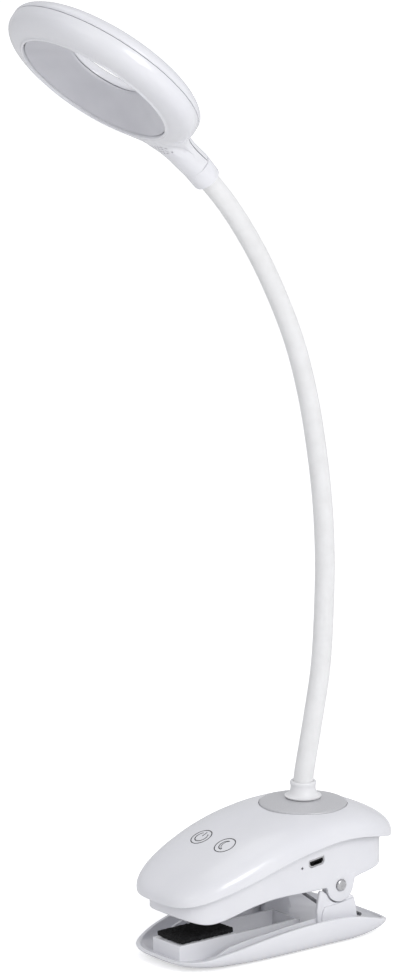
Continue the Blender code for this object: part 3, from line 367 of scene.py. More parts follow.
def sleeve_white():
    """Silicone sleeve: matte, slightly warm, with faint dusty streaks round it."""
    dust = (140.0, 6.0, 0.6)
    return surface("sleeve_white", (dust, (0.80, 0.80, 0.80), (0.86, 0.86, 0.865)), (dust, 0.42, 0.58),
                   ((1800.0, 3.0), 0.03 * MM, 0.6), {"Sheen Weight": 0.15, **milky(0.1)})


def grey_trim():
    """Painted grey disc: fine metallic flake under a satin lacquer."""
    flake = (3200.0, 1.0)
    return surface("grey_trim", (flake, (0.54, 0.54, 0.56), (0.62, 0.62, 0.64)), (flake, 0.28, 0.42),
                   (flake, 0.01 * MM, 0.4), {"Metallic": 0.15, "Coat Weight": 0.3, "Coat Roughness": 0.2})


def icon_grey():
    """Pad-printed grey ink."""
    ink = (1500.0, 3.0)
    return surface("icon_grey", (ink, (0.025, 0.025, 0.03), (0.07, 0.07, 0.075)), (ink, 0.35, 0.5))


def diffuser():
    """Frosted polycarbonate cone: cloudy grey with a fine frosted texture."""
    frost = (2400.0, 2.0)
    return surface("diffuser", ((34.0, 3.0), (0.58, 0.58, 0.62), (0.71, 0.71, 0.75)), (frost, 0.3, 0.45),
                   (frost, 0.03 * MM, 0.5), milky(0.2))


def black_foam():
    """Open-cell rubber foam: small pits between matte black walls, with painted shade darkening the pits."""
    made, tree, shader = shader_of("black_foam")
    place = tree.nodes.new("ShaderNodeTexCoord")
    cells = tree.nodes.new("ShaderNodeTexVoronoi")
    cells.inputs["Scale"].default_value = 1500.0
    tree.links.new(place.outputs["Object"], cells.inputs["Vector"])
    # Painted shade: the base colour darkens towards each cell's centre, where the bump sinks the pits.
    two_tone(tree, cells.outputs["Distance"], (0.002, 0.002, 0.002), (0.016, 0.016, 0.017),
             shader.inputs["Base Color"], 0.1, 0.6)
    bump(tree, cells.outputs["Distance"], shader, 0.25 * MM, 0.9)
    spread(tree, cells.outputs["Distance"], 1.0, 0.8, shader.inputs["Roughness"], 0.1, 0.6)
    shader.inputs["Specular IOR Level"].default_value = 0.2
    return made


def metal(name, dark, light, rough_low, rough_high, grain_scale):
    """Bare metal with a drawn grain."""
    grain = (grain_scale, 5.0, 0.65)
    return surface(name, (grain, dark, light), (grain, rough_low, rough_high), (grain, 0.01 * MM, 0.4),
                   {"Metallic": 1.0})


def plastic(name, dark, light, rough_low, rough_high, grain_scale, relief=0.02 * MM):
    """Moulded plastic, rubber or wrap with an even grain."""
    grain = (grain_scale, 4.0)
    return surface(name, (grain, dark, light), (grain, rough_low, rough_high), (grain, relief, 0.4))


def circuit_board(name, mask, track):
    """Solder mask over a weave of copper tracks."""
    made, tree, shader = shader_of(name)
    place = tree.nodes.new("ShaderNodeTexCoord")
    tracks = tree.nodes.new("ShaderNodeTexBrick")
    tracks.inputs["Scale"].default_value = 220.0
    tracks.inputs["Mortar Size"].default_value = 0.06
    tracks.inputs["Color1"].default_value = (*mask, 1)
    tracks.inputs["Color2"].default_value = (*[value * 0.85 for value in mask], 1)
    tracks.inputs["Mortar"].default_value = (*track, 1)
    tree.links.new(place.outputs["Object"], tracks.inputs["Vector"])
    tree.links.new(tracks.outputs["Color"], shader.inputs["Base Color"])
    bump(tree, tracks.outputs["Fac"], shader, 0.03 * MM, 0.5)
    shader.inputs["Roughness"].default_value = 0.38
    return made


METALS = {
    "steel": ((0.50, 0.50, 0.51), (0.68, 0.68, 0.69), 0.18, 0.34, 700.0),
    "spring_steel": ((0.16, 0.16, 0.17), (0.30, 0.30, 0.31), 0.2, 0.38, 900.0),
    "conduit_steel": ((0.42, 0.42, 0.42), (0.58, 0.58, 0.58), 0.25, 0.45, 500.0),
}
BOARDS = {
    "board_green": ((0.02, 0.16, 0.06), (0.04, 0.26, 0.10)),
    "board_white": ((0.78, 0.78, 0.76), (0.70, 0.70, 0.66)),
}
PLASTICS = {
    "black_plastic": ((0.008, 0.008, 0.009), (0.02, 0.02, 0.021), 0.3, 0.5, 900.0),
    "grip_rubber": ((0.02, 0.02, 0.021), (0.05, 0.05, 0.052), 0.7, 0.9, 1400.0),
    "battery_wrap": ((0.07, 0.16, 0.36), (0.11, 0.24, 0.48), 0.22, 0.4, 120.0, 0.08 * MM),
    "lamp_clear": ((0.05, 0.055, 0.06), (0.10, 0.105, 0.11), 0.1, 0.2, 600.0),
}


def make_materials():
    """All materials by name."""
    makers = (white_gloss, white_satin, sleeve_white, grey_trim, icon_grey, diffuser, black_foam)
    made = {maker.__name__: maker() for maker in makers}
    for family, maker in ((METALS, metal), (BOARDS, circuit_board), (PLASTICS, plastic)):
        made.update({name: maker(name, *look) for name, look in family.items()})
    return made


# ---------------------------------------------------------------- lines and meshes

def millimetres(points):
    return [(a * MM, b * MM) for a, b in points]


def smooth_line(stations):
    """A function of Y, in metres, that runs smoothly through (Y, Z) stations given in millimetres."""
    ys, zs = zip(*millimetres(stations))
    slopes = [(zs[1] - zs[0]) / (ys[1] - ys[0])]
    for i in range(1, len(ys) - 1):
        slopes.append((zs[i + 1] - zs[i - 1]) / (ys[i + 1] - ys[i - 1]))
    slopes.append((zs[-1] - zs[-2]) / (ys[-1] - ys[-2]))

    def height(y):
        y = min(max(y, ys[0]), ys[-1])
        i = max(k for k in range(len(ys) - 1) if ys[k] <= y)
        span = ys[i + 1] - ys[i]
        t = (y - ys[i]) / span
        start = (1 + 2 * t) * (1 - t) ** 2 * zs[i] + t * (1 - t) ** 2 * span * slopes[i]
        end = t * t * (3 - 2 * t) * zs[i + 1] + t * t * (t - 1) * span * slopes[i + 1]
        return start + end

    return height


def egg_outline(half_width, nose_y, tail_y, nose_power, tail_power, inset=0.0):
    """Superellipse plan, widest at Y = 0, with its points spread evenly along it."""
    width = half_width - inset
    corners = []
    for i in range(OUTLINE_STEPS):
        turn = 2 * pi * i / OUTLINE_STEPS
        power = nose_power if cos(turn) < 0 else tail_power
        reach = (-nose_y if cos(turn) < 0 else tail_y) - inset
        x = width * abs(sin(turn)) ** (2 / power) * (1 if sin(turn) >= 0 else -1)
        y = reach * abs(cos(turn)) ** (2 / power) * (1 if cos(turn) >= 0 else -1)
        corners.append((x, y))
    return evenly(corners, OUTLINE_POINTS)


def evenly(closed, count):
    """Points at equal distances along a closed line, starting from its first point."""
    ends = closed[1:] + closed[:1]
    spans = [hypot(b[0] - a[0], b[1] - a[1]) for a, b in zip(closed, ends)]
    step = sum(spans) / count
    points, k, passed = [], 0, 0.0
    for i in range(count):
        along = i * step
        while passed + spans[k] < along:
            passed += spans[k]
            k += 1
        t = (along - passed) / spans[k]
        a, b = closed[k], ends[k]
        points.append((a[0] + (b[0] - a[0]) * t, a[1] + (b[1] - a[1]) * t))
    return points


def scaled(outline, factor):
    return [(x * factor, y * factor) for x, y in outline]


def arc(centre, radius, start, end, steps):
    """Points of an arc in the YZ plane; angles in degrees, from +Y towards +Z."""
    points = []
    for i in range(steps + 1):
        turn = radians(start + (end - start) * i / steps)
        points.append((centre[0] + radius * cos(turn), centre[1] + radius * sin(turn)))
    return points


def lofted(rings, fans=True):
    """A closed skin over rings of points: fans close its ends, or else the last ring meets the first."""
    bm = bmesh.new()
    loops = [[bm.verts.new(point) for point in ring] for ring in rings]
    count = len(rings[0])
    pairs = list(zip(loops, loops[1:]))
    if not fans:
        pairs.append((loops[-1], loops[0]))
    for lower, upper in pairs:
        for i in range(count):
            j = (i + 1) % count
            bm.faces.new((lower[i], lower[j], upper[j], upper[i]))
    if fans:
        for loop in (loops[0], loops[-1]):
            hub = bm.verts.new(sum((vert.co for vert in loop), Vector()) / count)
            for i in range(count):
                bm.faces.new((loop[i], loop[(i + 1) % count], hub))
    bmesh.ops.remove_doubles(bm, verts=bm.verts, dist=0.001 * MM)
    bmesh.ops.recalc_face_normals(bm, faces=bm.faces)
    return bm


def turned(profile, steps, placing=None):
    """A body of revolution about +Z from a closed profile of (radius, z)."""
    bm = bmesh.new()
    verts = [bm.verts.new((radius, 0.0, z)) for radius, z in profile]
    edges = [bm.edges.new((verts[i], verts[(i + 1) % len(verts)])) for i in range(len(verts))]
    bmesh.ops.spin(bm, geom=verts + edges, cent=(0, 0, 0), axis=(0, 0, 1), angle=2 * pi, steps=steps,
                   use_merge=True)
    bmesh.ops.remove_doubles(bm, verts=bm.verts, dist=0.001 * MM)
    bmesh.ops.delete(bm, geom=[edge for edge in bm.edges if not edge.link_faces], context="EDGES")
    if placing:
        bmesh.ops.transform(bm, matrix=placing, verts=bm.verts)
    bmesh.ops.recalc_face_normals(bm, faces=bm.faces)
    return bm


def plate(profile, x_low, x_high, softened=0.25 * MM):
    """A flat moulded piece: a profile of (y, z) pushed from x_low to x_high, its outer edges rounded off."""
    bm = bmesh.new()
    face = bm.faces.new([bm.verts.new((x_low, y, z)) for y, z in profile])
    pushed = bmesh.ops.extrude_face_region(bm, geom=[face])
    moved = [item for item in pushed["geom"] if isinstance(item, bmesh.types.BMVert)]
    bmesh.ops.translate(bm, vec=(x_high - x_low, 0, 0), verts=moved)
    bmesh.ops.recalc_face_normals(bm, faces=bm.faces)
    rims = [edge for edge in bm.edges if abs(edge.verts[0].co.x - edge.verts[1].co.x) < 1e-9]
    if softened:
        bmesh.ops.bevel(bm, geom=rims, offset=softened, segments=3, profile=0.5, affect="EDGES")
    return bm


def block(low, high, softened):
    """A box between two corners, its edges rounded off."""
    bm = bmesh.new()
    size = [high[i] - low[i] for i in range(3)]
    middle = Vector([(high[i] + low[i]) / 2 for i in range(3)])
    bmesh.ops.create_cube(bm, size=1.0, matrix=Matrix.Translation(middle) @ Matrix.Diagonal((*size, 1.0)))
    bmesh.ops.bevel(bm, geom=bm.edges[:], offset=softened, segments=3, profile=0.5, affect="EDGES")
    return bm


def aimed(place, along):
    """A frame at a place whose +Z looks along a direction."""
    return Matrix.Translation(place) @ along.to_track_quat("Z", "Y").to_matrix().to_4x4()


def rod(radius, start, end, sides=32):
    """A round bar between two points."""
    bm = bmesh.new()
    start, end = Vector(start), Vector(end)
    along = end - start
    placing = aimed((start + end) / 2, along)
    bmesh.ops.create_cone(bm, cap_ends=True, segments=sides, radius1=radius, radius2=radius,
                          depth=along.length, matrix=placing)
    return bm


def joined(pieces):
    """Several meshes put together in one, without a Boolean."""
    whole = bmesh.new()
    for piece in pieces:
        copied = bpy.data.meshes.new("copied")
        piece.to_mesh(copied)
        piece.free()
        whole.from_mesh(copied)
        bpy.data.meshes.remove(copied)
    return whole


def combined(base, pieces, operation):
    """Boolean of a mesh with others; operation is UNION or DIFFERENCE."""
    for piece in pieces:
        holders = []
        for label, mesh_data in (("base", base), ("other", piece)):
            mesh = bpy.data.meshes.new(label)
            mesh_data.to_mesh(mesh)
            mesh_data.free()
            holder = bpy.data.objects.new(label, mesh)
            bpy.context.scene.collection.objects.link(holder)
            holders.append(holder)
        modifier = holders[0].modifiers.new("combine", "BOOLEAN")
        modifier.operation = operation
        modifier.solver = "EXACT"
        modifier.object = holders[1]
        evaluated = holders[0].evaluated_get(bpy.context.evaluated_depsgraph_get())
        base = bmesh.new()
        base.from_mesh(evaluated.to_mesh())
        evaluated.to_mesh_clear()
        for holder in holders:
            mesh = holder.data
            bpy.data.objects.remove(holder, do_unlink=True)
            bpy.data.meshes.remove(mesh)
    bmesh.ops.remove_doubles(base, verts=base.verts, dist=0.001 * MM)
    return base


def piece(name, bm, material, body=None, replaces=(), sharp=35, slot=None):
    """Store a mesh as a shown piece that rides on a body and stands for CAD nodes."""
    mesh = bpy.data.meshes.new(name)
    bm.to_mesh(mesh)
    bm.free()
    mesh.shade_smooth()
    mesh.set_sharp_from_angle(angle=radians(sharp))
    mesh.materials.append(materials[material])
    made = bpy.data.objects.new(name, mesh)
    bpy.context.scene.collection.objects.link(made)
    if body:
        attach(made, body)
    if replaces:
        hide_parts(*replaces)
    return made


def middle_of(node):
    low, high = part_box(node)
    return (low + high) / 2


# ---------------------------------------------------------------- upper jaw

def cover_plan(inset):
    low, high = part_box("top_cover")
    return egg_outline(high.x, low.y, high.y, NOSE_POWER, COVER_TAIL_POWER, inset)


def cover_height(x, y):
    """Height of the cover's surface above a place in the plan."""
    low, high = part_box("top_cover")
    edge, crown = smooth_line(COVER_EDGE), smooth_line(COVER_CROWN)
    power = NOSE_POWER if y < 0 else COVER_TAIL_POWER
    reach = -low.y if y < 0 else high.y
    shrink = (abs(x / high.x) ** power + abs(y / reach) ** power) ** (1 / power)
    rise = (1 - min(shrink, 1.0) ** COVER_DOME_POWER) ** (1 / COVER_DOME_POWER)
    return edge(y / max(shrink, 1e-6)) * (1 - rise) + crown(y) * rise


def cover_rings(inset, angles):
    """Rings of the cover's dome, from the edge (0 degrees) to the crown (90 degrees)."""
    edge, crown = smooth_line(COVER_EDGE), smooth_line(COVER_CROWN)
    outline = cover_plan(inset)
    rings = []
    for angle in angles:
        shrink = cos(radians(angle)) ** (2 / COVER_DOME_POWER)
        rise = sin(radians(angle)) ** (2 / COVER_DOME_POWER)
        rings.append([(x * shrink, y * shrink, edge(y) * (1 - rise) + (crown(y * shrink) - inset) * rise)
                      for x, y in outline])
    return rings


def build_cover():
    """Domed top shell with a rolled lower lip and a recess for the disc."""
    edge = smooth_line(COVER_EDGE)
    lip = []
    steps = ((COVER_WALL, 0.2), (COVER_WALL - 0.35 * MM, -0.2), (0.35 * MM, -0.2), (0.1 * MM, -0.02))
    for inset, lift in steps:
        lip.append([(x, y, edge(y) + lift * MM) for x, y in cover_plan(inset)])
    outer = cover_rings(0.0, (1, 3, 6, 10, 15, 20, 26, 32, 38, 44, 50, 56, 62, 68, 74, 79, 84, 88))
    inner = cover_rings(COVER_WALL, (86, 70, 50, 30, 15, 6))
    shell = lofted(inner + lip + outer)
    low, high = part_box("base_disc")
    radius, floor, above = high.x + GAP, low.z - GAP, high.z + 3 * MM
    recess = turned([(0, floor), (radius, floor), (radius, above), (0, above)], 120)
    shell = combined(shell, [recess], "DIFFERENCE")
    piece("top_cover_shell", shell, "white_gloss", "upper_jaw", ["top_cover"])


def on_cover(x, y, lift):
    return (x, y, cover_height(x, y) + lift)


def icon_stroke(points, width, closed):
    """A thin printed line on the cover that follows points of (x, y) in the plan."""
    bm = bmesh.new()
    count = len(points)
    lift = 0.05 * MM
    loops = []
    for i, (x, y) in enumerate(points):
        before = points[i - 1] if closed or i else points[i]
        after = points[(i + 1) % count] if closed or i < count - 1 else points[i]
        along = Vector((after[0] - before[0], after[1] - before[1])).normalized()
        side = Vector((-along.y, along.x)) * width / 2
        corners = ((1, -lift), (1, lift), (-1, lift), (-1, -lift))
        loops.append([bm.verts.new(on_cover(x + side.x * sign, y + side.y * sign, z)) for sign, z in corners])
    pairs = list(zip(loops, loops[1:] + loops[:1])) if closed else list(zip(loops, loops[1:]))
    for first, second in pairs:
        for i in range(4):
            j = (i + 1) % 4
            bm.faces.new((first[i], first[j], second[j], second[i]))
    if not closed:
        bm.faces.new(loops[0])
        bm.faces.new(loops[-1])
    bmesh.ops.recalc_face_normals(bm, faces=bm.faces)
    return bm


def plan_arc(centre, radius, start=0.0, end=360.0, count=64):
    """Points of an arc in the plan, without its last one; angles from +X towards +Y."""
    points = []
    for i in range(count):
        turn = radians(start + (end - start) * i / count)
        points.append((centre[0] + radius * cos(turn), centre[1] + radius * sin(turn)))
    return points


def build_icons():
    """Printed touch marks: a power sign and a crescent, each in a thin ring."""
    line, size = 0.4 * MM, ICON_RADIUS
    x, y, _ = middle_of("power_touch_spring")
    bar = [(x, y + size * share) for share in (0.7, 0.5, 0.3, 0.1)]
    strokes = [icon_stroke(plan_arc((x, y), size), line, True),
               icon_stroke(plan_arc((x, y), size * 0.62, 120, 420, 40), line, False),
               icon_stroke(bar, line, False)]
    piece("power_mark", joined(strokes), "icon_grey", "upper_jaw", slot="black_plastic")
    x, y, _ = middle_of("moon_touch_spring")
    crescent = plan_arc((x + 0.2 * MM, y), size * 0.6, 95, 290, 30)
    inner = plan_arc((x + 1.15 * MM, y + 0.3 * MM), size * 0.58, 262, 122, 30)
    strokes = [icon_stroke(plan_arc((x, y), size), line, True),
               icon_stroke(crescent, line, False), icon_stroke(inner, line * 0.6, False)]
    piece("night_mark", joined(strokes), "icon_grey", "upper_jaw", slot="black_plastic")


def build_disc():
    """Slightly domed grey disc with a softened rim."""
    low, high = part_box("base_disc")
    radius, base, crown = high.x, low.z, high.z
    edge_top = base + 1.1 * MM
    bore = 5.8 * MM

    def dome(r):
        return edge_top + (crown - edge_top) * (1 - (r / radius) ** 2) / (1 - (bore / radius) ** 2)

    rim = [(radius, base), (radius, edge_top - 0.35 * MM), (radius - 0.12 * MM, edge_top - 0.1 * MM)]
    top = [(r * MM, dome(r * MM)) for r in (18.6, 18, 17, 15.5, 14, 12.5, 11, 9.5, 8, 7)]
    profile = [(bore, base)] + rim + top + [(bore, dome(bore))]
    piece("disc_trim", turned(profile, 120), "grey_trim", "upper_jaw", ["base_disc"])


def build_collar():
    """Flared ferrule with a rolled lip and a short straight neck."""
    low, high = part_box("base_collar")
    radius = high.x
    neck = 5.4 * MM
    bore = 4.5 * MM
    foot = low.z + 0.12 * MM
    flare = []
    for i in range(15):
        turn = pi / 2 * i / 14
        flare.append((radius - (radius - neck) * sin(turn), foot + 0.6 * MM + 4.2 * MM * (1 - cos(turn))))
    lip = [(neck + 0.25 * MM, high.z - 1.4 * MM), (neck + 0.35 * MM, high.z - 1.1 * MM),
           (neck + 0.35 * MM, high.z - 0.4 * MM), (neck + 0.1 * MM, high.z), (bore, high.z)]
    profile = [(bore, foot + 0.5 * MM), (radius - 0.3 * MM, foot)] + flare + lip
    piece("base_ferrule", turned(profile, 72), "white_satin", "upper_jaw", ["base_collar"])


def socket_placing():
    """Frame of the charging socket, from its tongue's place and the slope of the cover's edge there."""
    tongue = middle_of("usb_tongue")
    edge = smooth_line(COVER_EDGE)
    slope = atan2(edge(tongue.y + 4 * MM) - edge(tongue.y - 4 * MM), 8 * MM)
    return Matrix.Translation((0, tongue.y, tongue.z - 0.4 * MM)) @ Matrix.Rotation(slope * 0.85, 4, "X")


def socket_outline(width, height):
    """D-shaped mouth in (y, z): flat on top, with its lower corners cut back and all corners rounded."""
    half, low, high = width / 2, -height / 2, height / 2
    cut = min(1.1 * MM, height * 0.4)
    soft = 0.25 * MM
    corners = [(-half, high), (-half, low + cut), (-half + cut, low), (half - cut, low), (half, low + cut),
               (half, high)]
    points = []
    for i, (y, z) in enumerate(corners):
        for other_y, other_z in (corners[i - 1], corners[(i + 1) % len(corners)]):
            step = hypot(other_y - y, other_z - z)
            points.append((y + (other_y - y) * soft / step, z + (other_z - z) * soft / step))
    return points


def build_housing():
    """Lower half of the upper jaw: a skirt set in from the cover, with hinge lugs and the charging mouth."""
    low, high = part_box("lower_housing")
    floor, skirt, edge = smooth_line(HOUSING_FLOOR), smooth_line(HOUSING_SKIRT), smooth_line(COVER_EDGE)
    pin = middle_of("hinge_pin")
    thick = 1.8 * MM

    def plan(inset):
        return egg_outline(high.x, low.y, high.y, HOUSING_NOSE_POWER, HOUSING_TAIL_POWER, inset)

    def level(outline, height_of):
        return [(x, y, height_of(y)) for x, y in outline]

    def top(y):
        return edge(y * HOUSING_SPREAD) + HOUSING_OVERLAP

    deep = plan(HOUSING_WALL + 1.5 * MM)
    inside, outside = plan(HOUSING_WALL), plan(0.0)
    rings = [level(scaled(deep, factor), lambda y: floor(y) + thick) for factor in (0.3, 0.7, 1.0)]
    rings += [level(inside, lambda y: floor(y) + 3.2 * MM), level(inside, top), level(outside, top)]
    for share in (0.75, 0.5, 0.25):
        rings.append(level(outside, lambda y: top(y) * share + (skirt(y) + HOUSING_OVERLAP) * (1 - share)))
    for angle in (0, 22, 45, 67, 90):
        inset = HOUSING_LIP * (1 - cos(radians(angle)))
        lift = HOUSING_LIP * (1 - sin(radians(angle)))
        rings.append(level(plan(inset), lambda y: skirt(y) + lift))
    rings += [level(plan(HOUSING_WALL - 0.3 * MM), lambda y: skirt(y) + 0.05 * MM),
              level(inside, lambda y: skirt(y) + 0.3 * MM),
              level(inside, lambda y: floor(y) - 0.6 * MM)]
    rings += [level(scaled(deep, factor), floor) for factor in (1.0, 0.7, 0.3)]
    lugs, cuts = [], []
    profile = [(-8.5 * MM, 30.5 * MM), *arc((pin.y, pin.z), LUG_RADIUS, 188, 352, 40), (9.5 * MM, 30.5 * MM)]
    bores = ((PIN_HEAD_SEAT, 24.1 * MM, WALL_OUTSIDE), (PIN_BORE, WALL_INSIDE, 25 * MM))
    for side in (-1, 1):
        lugs.append(plate(profile, side * (high.x - HOUSING_WALL + 0.1 * MM), side * (high.x - 0.02 * MM)))
        for radius, start, end in bores:
            cuts.append(rod(radius, (side * start, pin.y, pin.z), (side * end, pin.y, pin.z)))
    mouth = plate(socket_outline(*SOCKET_MOUTH), WALL_INSIDE, WALL_OUTSIDE, 0.0)
    bmesh.ops.transform(mouth, matrix=socket_placing(), verts=mouth.verts)
    led = middle_of("charge_led")
    cuts += [mouth, rod(LED_HOLE, (WALL_INSIDE, led.y, led.z), (WALL_OUTSIDE, led.y, led.z), 24)]
    shell = combined(lofted(rings), lugs, "UNION")
    shell = combined(shell, cuts, "DIFFERENCE")
    piece("jaw_housing", shell, "white_gloss", "upper_jaw", ["lower_housing"])


def build_charging_port():
    """Stamped socket shell with a black insulator and contact tongue, and the charging lamp."""
    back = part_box("usb_socket")[0].x
    placing = socket_placing()
    outer = plate(socket_outline(*SOCKET_SHELL), back, 24.3 * MM, 0.0)
    hollow = plate(socket_outline(*SOCKET_HOLLOW), back + 0.4 * MM, 26 * MM, 0.0)
    shell = combined(outer, [hollow], "DIFFERENCE")
    bmesh.ops.transform(shell, matrix=placing, verts=shell.verts)
    piece("socket_shell", shell, "steel", "upper_jaw", ["usb_socket"])
    insert = plate(socket_outline(*SOCKET_INSULATOR), back + 0.5 * MM, back + 1.2 * MM, 0.1 * MM)
    tongue = block((back + 1.0 * MM, -2.6 * MM, 0.1 * MM), (23.2 * MM, 2.6 * MM, 0.7 * MM), 0.1 * MM)
    whole = combined(insert, [tongue], "UNION")
    bmesh.ops.transform(whole, matrix=placing, verts=whole.verts)
    piece("socket_tongue", whole, "black_plastic", "upper_jaw", ["usb_tongue"])
    led = middle_of("charge_led")
    profile = millimetres([(0, 21), (0.5, 21), (0.5, 23.7), (0.35, 23.9), (0, 24.0)])
    lens = turned(profile, 20, Matrix.Translation((0, led.y, led.z)) @ Matrix.Rotation(pi / 2, 4, "Y"))
    piece("charge_lens", lens, "lamp_clear", "upper_jaw", ["charge_led"])


def foam_slab(low, high, placing, seed):
    """A crowned block of foam with a pitted skin and worn corners."""
    bm = bmesh.new()
    size = [high[i] - low[i] for i in range(3)]
    cells = [max(4, round(side / FOAM_CELL)) for side in size]
    bmesh.ops.create_cube(bm, size=1.0)
    for axis in range(3):
        other = [i for i in range(3) if i != axis]
        along = [edge for edge in bm.edges
                 if all(abs(edge.verts[0].co[i] - edge.verts[1].co[i]) < 1e-6 for i in other)]
        bmesh.ops.subdivide_edges(bm, edges=along, cuts=cells[axis] - 1, use_grid_fill=True)
    bmesh.ops.remove_doubles(bm, verts=bm.verts, dist=1e-6)
    soft = FOAM_CORNER
    offset = Vector((seed, 0, 0))
    for vert in bm.verts:
        spot = Vector([low[i] + (vert.co[i] + 0.5) * size[i] for i in range(3)])
        core = Vector([min(max(spot[i], low[i] + soft), high[i] - soft) for i in range(3)])
        out = spot - core
        normal = out.normalized() if out.length else Vector((0, 0, 1))
        crown = (1 - (2 * vert.co.x) ** 2) * (1 - (2 * vert.co.y) ** 2)
        rough = noise.fractal((spot + offset) / FOAM_GRAIN, 1.0, 2.0, 3) * 0.3 * MM
        lift = crown * 0.12 * MM if vert.co.z > 0 else 0
        vert.co = core + normal * (soft + rough - 0.1 * MM) + Vector((0, 0, lift))
    bmesh.ops.transform(bm, matrix=placing, verts=bm.verts)
    bmesh.ops.recalc_face_normals(bm, faces=bm.faces)
    return bm


def build_pads():
    """Foam pads of both jaws; the upper one lies along the slope of its mount."""
    low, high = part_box("lower_foam_pad")
    half = (high - low) / 2
    slab = foam_slab(-half, half, Matrix.Translation(middle_of("lower_foam_pad")), 1.7)
    lower = piece("lower_pad", slab, "black_foam", "lower_jaw", ["lower_foam_pad"], 80)
    mount = next(m for m in frame["record"]["mounts"] if m["name"] == "upper_jaw_pad")
    axis = Vector(mount["axis"])
    placing = Matrix.Translation(mount["pos_m"]) @ Matrix.Rotation(atan2(axis.y, -axis.z) + pi, 4, "X")
    half_x, half_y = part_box("upper_foam_pad")[1].x, UPPER_PAD_HALF_LENGTH
    slab = foam_slab((-half_x, -half_y, -UPPER_PAD_DEPTH), (half_x, half_y, 0.0), placing, 5.1)
    upper = piece("upper_pad", slab, "black_foam", "upper_jaw", ["upper_foam_pad"], 80)


# ---------------------------------------------------------------- lower jaw

def build_tray():
    """Boat-shaped lower jaw with its rim, hinge ears, pin carriers, ribs and the block under the pad."""
    low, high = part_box("lower_tray")
    rim = smooth_line(TRAY_RIM)

    def plan(inset):
        return egg_outline(high.x, low.y, high.y, NOSE_POWER, TRAY_TAIL_POWER, inset)

    def foot_of(outline):
        return [(x * TRAY_FOOT_WIDTH, y * (TRAY_FOOT_NOSE if y < 0 else TRAY_FOOT_TAIL)) for x, y in outline]

    def flank(start, end, base, angle):
        """A ring on the way from the foot (0 degrees) out and up to the rim (90 degrees)."""
        grow, rise = sin(radians(angle)), 1 - cos(radians(angle))
        ring = []
        for (x0, y0), (x1, y1) in zip(start, end):
            ring.append((x0 + (x1 - x0) * grow, y0 + (y1 - y0) * grow, base + (rim(y1) - base) * rise))
        return ring

    outer, inner = plan(0.0), plan(TRAY_WALL)
    foot, floor = foot_of(outer), foot_of(inner)
    angles = (12, 24, 36, 48, 59, 69, 78, 86)
    rings = [[(x, y, TRAY_FLOOR) for x, y in scaled(floor, factor)] for factor in (0.4, 1.0)]
    rings += [flank(floor, inner, TRAY_FLOOR, angle) for angle in angles]
    lip = ((TRAY_WALL - 0.15 * MM, 0.1 * MM), (TRAY_WALL - 0.5 * MM, 0.0), (0.5 * MM, 0.0),
           (0.12 * MM, 0.12 * MM))
    rings += [[(x, y, rim(y) - drop) for x, y in plan(inset)] for inset, drop in lip]
    rings += [flank(foot, outer, 0.0, angle) for angle in reversed(angles)]
    rings += [[(x, y, 0.0) for x, y in scaled(foot, factor)] for factor in (1.0, 0.4)]
    shell = combined(lofted(rings), tray_fittings(), "UNION")
    pin = middle_of("hinge_pin")
    cuts = []
    for side in (-1, 1):
        cuts.append(rod(PIN_BORE, (side * 18.0 * MM, pin.y, pin.z), (side * 22.0 * MM, pin.y, pin.z)))
    cuts += [build_foot(f"rubber_foot_{i}", f"foot_pad_{i}") for i in (1, 2, 3, 4)]
    shell = combined(shell, cuts, "DIFFERENCE")
    piece("jaw_tray", joined([shell] + tray_fins()), "white_gloss", "lower_jaw", ["lower_tray"])


def build_foot(name, node):
    """A rubber foot with a chamfered tread; returns the cutter of its pocket in the tray."""
    low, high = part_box(node)
    x, y, _ = middle_of(node)
    radius, chamfer = (high.x - low.x) / 2, 0.3 * MM
    tread = [(0, low.z), (radius - chamfer, low.z), (radius, low.z + chamfer), (radius, high.z), (0, high.z)]
    foot = turned(tread, 48, Matrix.Translation((x, y, 0)))
    piece(name, foot, "grip_rubber", "lower_jaw", [node])
    return rod(radius + GAP, (x, y, -1 * MM), (x, y, high.z + GAP), 48)


def tray_fittings():
    """Pieces moulded on the tray: pad block, rib frame, ears in two steps and carriers."""
    pin = middle_of("hinge_pin")
    half, wall = FRAME_HALF_WIDTH, FRAME_WALL
    block_side = millimetres([(-75, 3.0), (-75, 10), (-44.5, 10), (-44.5, 1.4), (-60, 1.4), (-68, 2.0)])
    parts = [plate(block_side, -half, half, 0.35 * MM)]
    for inner_x, outer_x in ((-half, wall - half), (half - wall, half)):
        parts.append(block((inner_x, -45.1 * MM, 1.4 * MM), (outer_x, -9 * MM, 9.7 * MM), 0.2 * MM))
    inset = 0.3 * MM
    parts.append(block((inset - half, -10.4 * MM, 1.4 * MM), (half - inset, -9.0 * MM, 9.5 * MM), 0.2 * MM))
    hollow = arc((pin.y, pin.z), EAR_ARC_RADIUS, 202, 318, 30)
    front = [(-11.4, 2.4), (-11.2, 12), (-11.6, 17), (-10.4, 24.2), (-9.9, 25.1), (-9.3, 25.4), (-8.6, 25.2)]
    back = [(8.6, 20.2), (9.6, 16), (10.3, 11), (12.5, 2.4)]
    inner_ear = millimetres(front) + hollow + millimetres(back)
    outer_ear = millimetres([(-9.8, 2.6), (-9.6, 11), (-9.2, 15), (-8.5, 17.2), (-7.4, 18.1), (-5.5, 18.2),
                             (-2, 18.3), (2, 18.6), (6, 19.2), (8.4, 19.6), (9.4, 16), (10.1, 11),
                             (12.2, 2.6)])
    top = arc((pin.y, pin.z), CARRIER_RADIUS, -10, 190, 30)
    carrier = [(8.0 * MM, 1.2 * MM)] + top + [(-6.5 * MM, 1.2 * MM)]
    for side in (-1, 1):
        parts.append(plate(inner_ear, side * 22.4 * MM, side * 23.9 * MM, 0.3 * MM))
        parts.append(plate(outer_ear, side * 23.6 * MM, side * 24.7 * MM, 0.35 * MM))
        parts.append(plate(carrier, side * 18.6 * MM, side * 21.4 * MM, 0.3 * MM))
    return parts


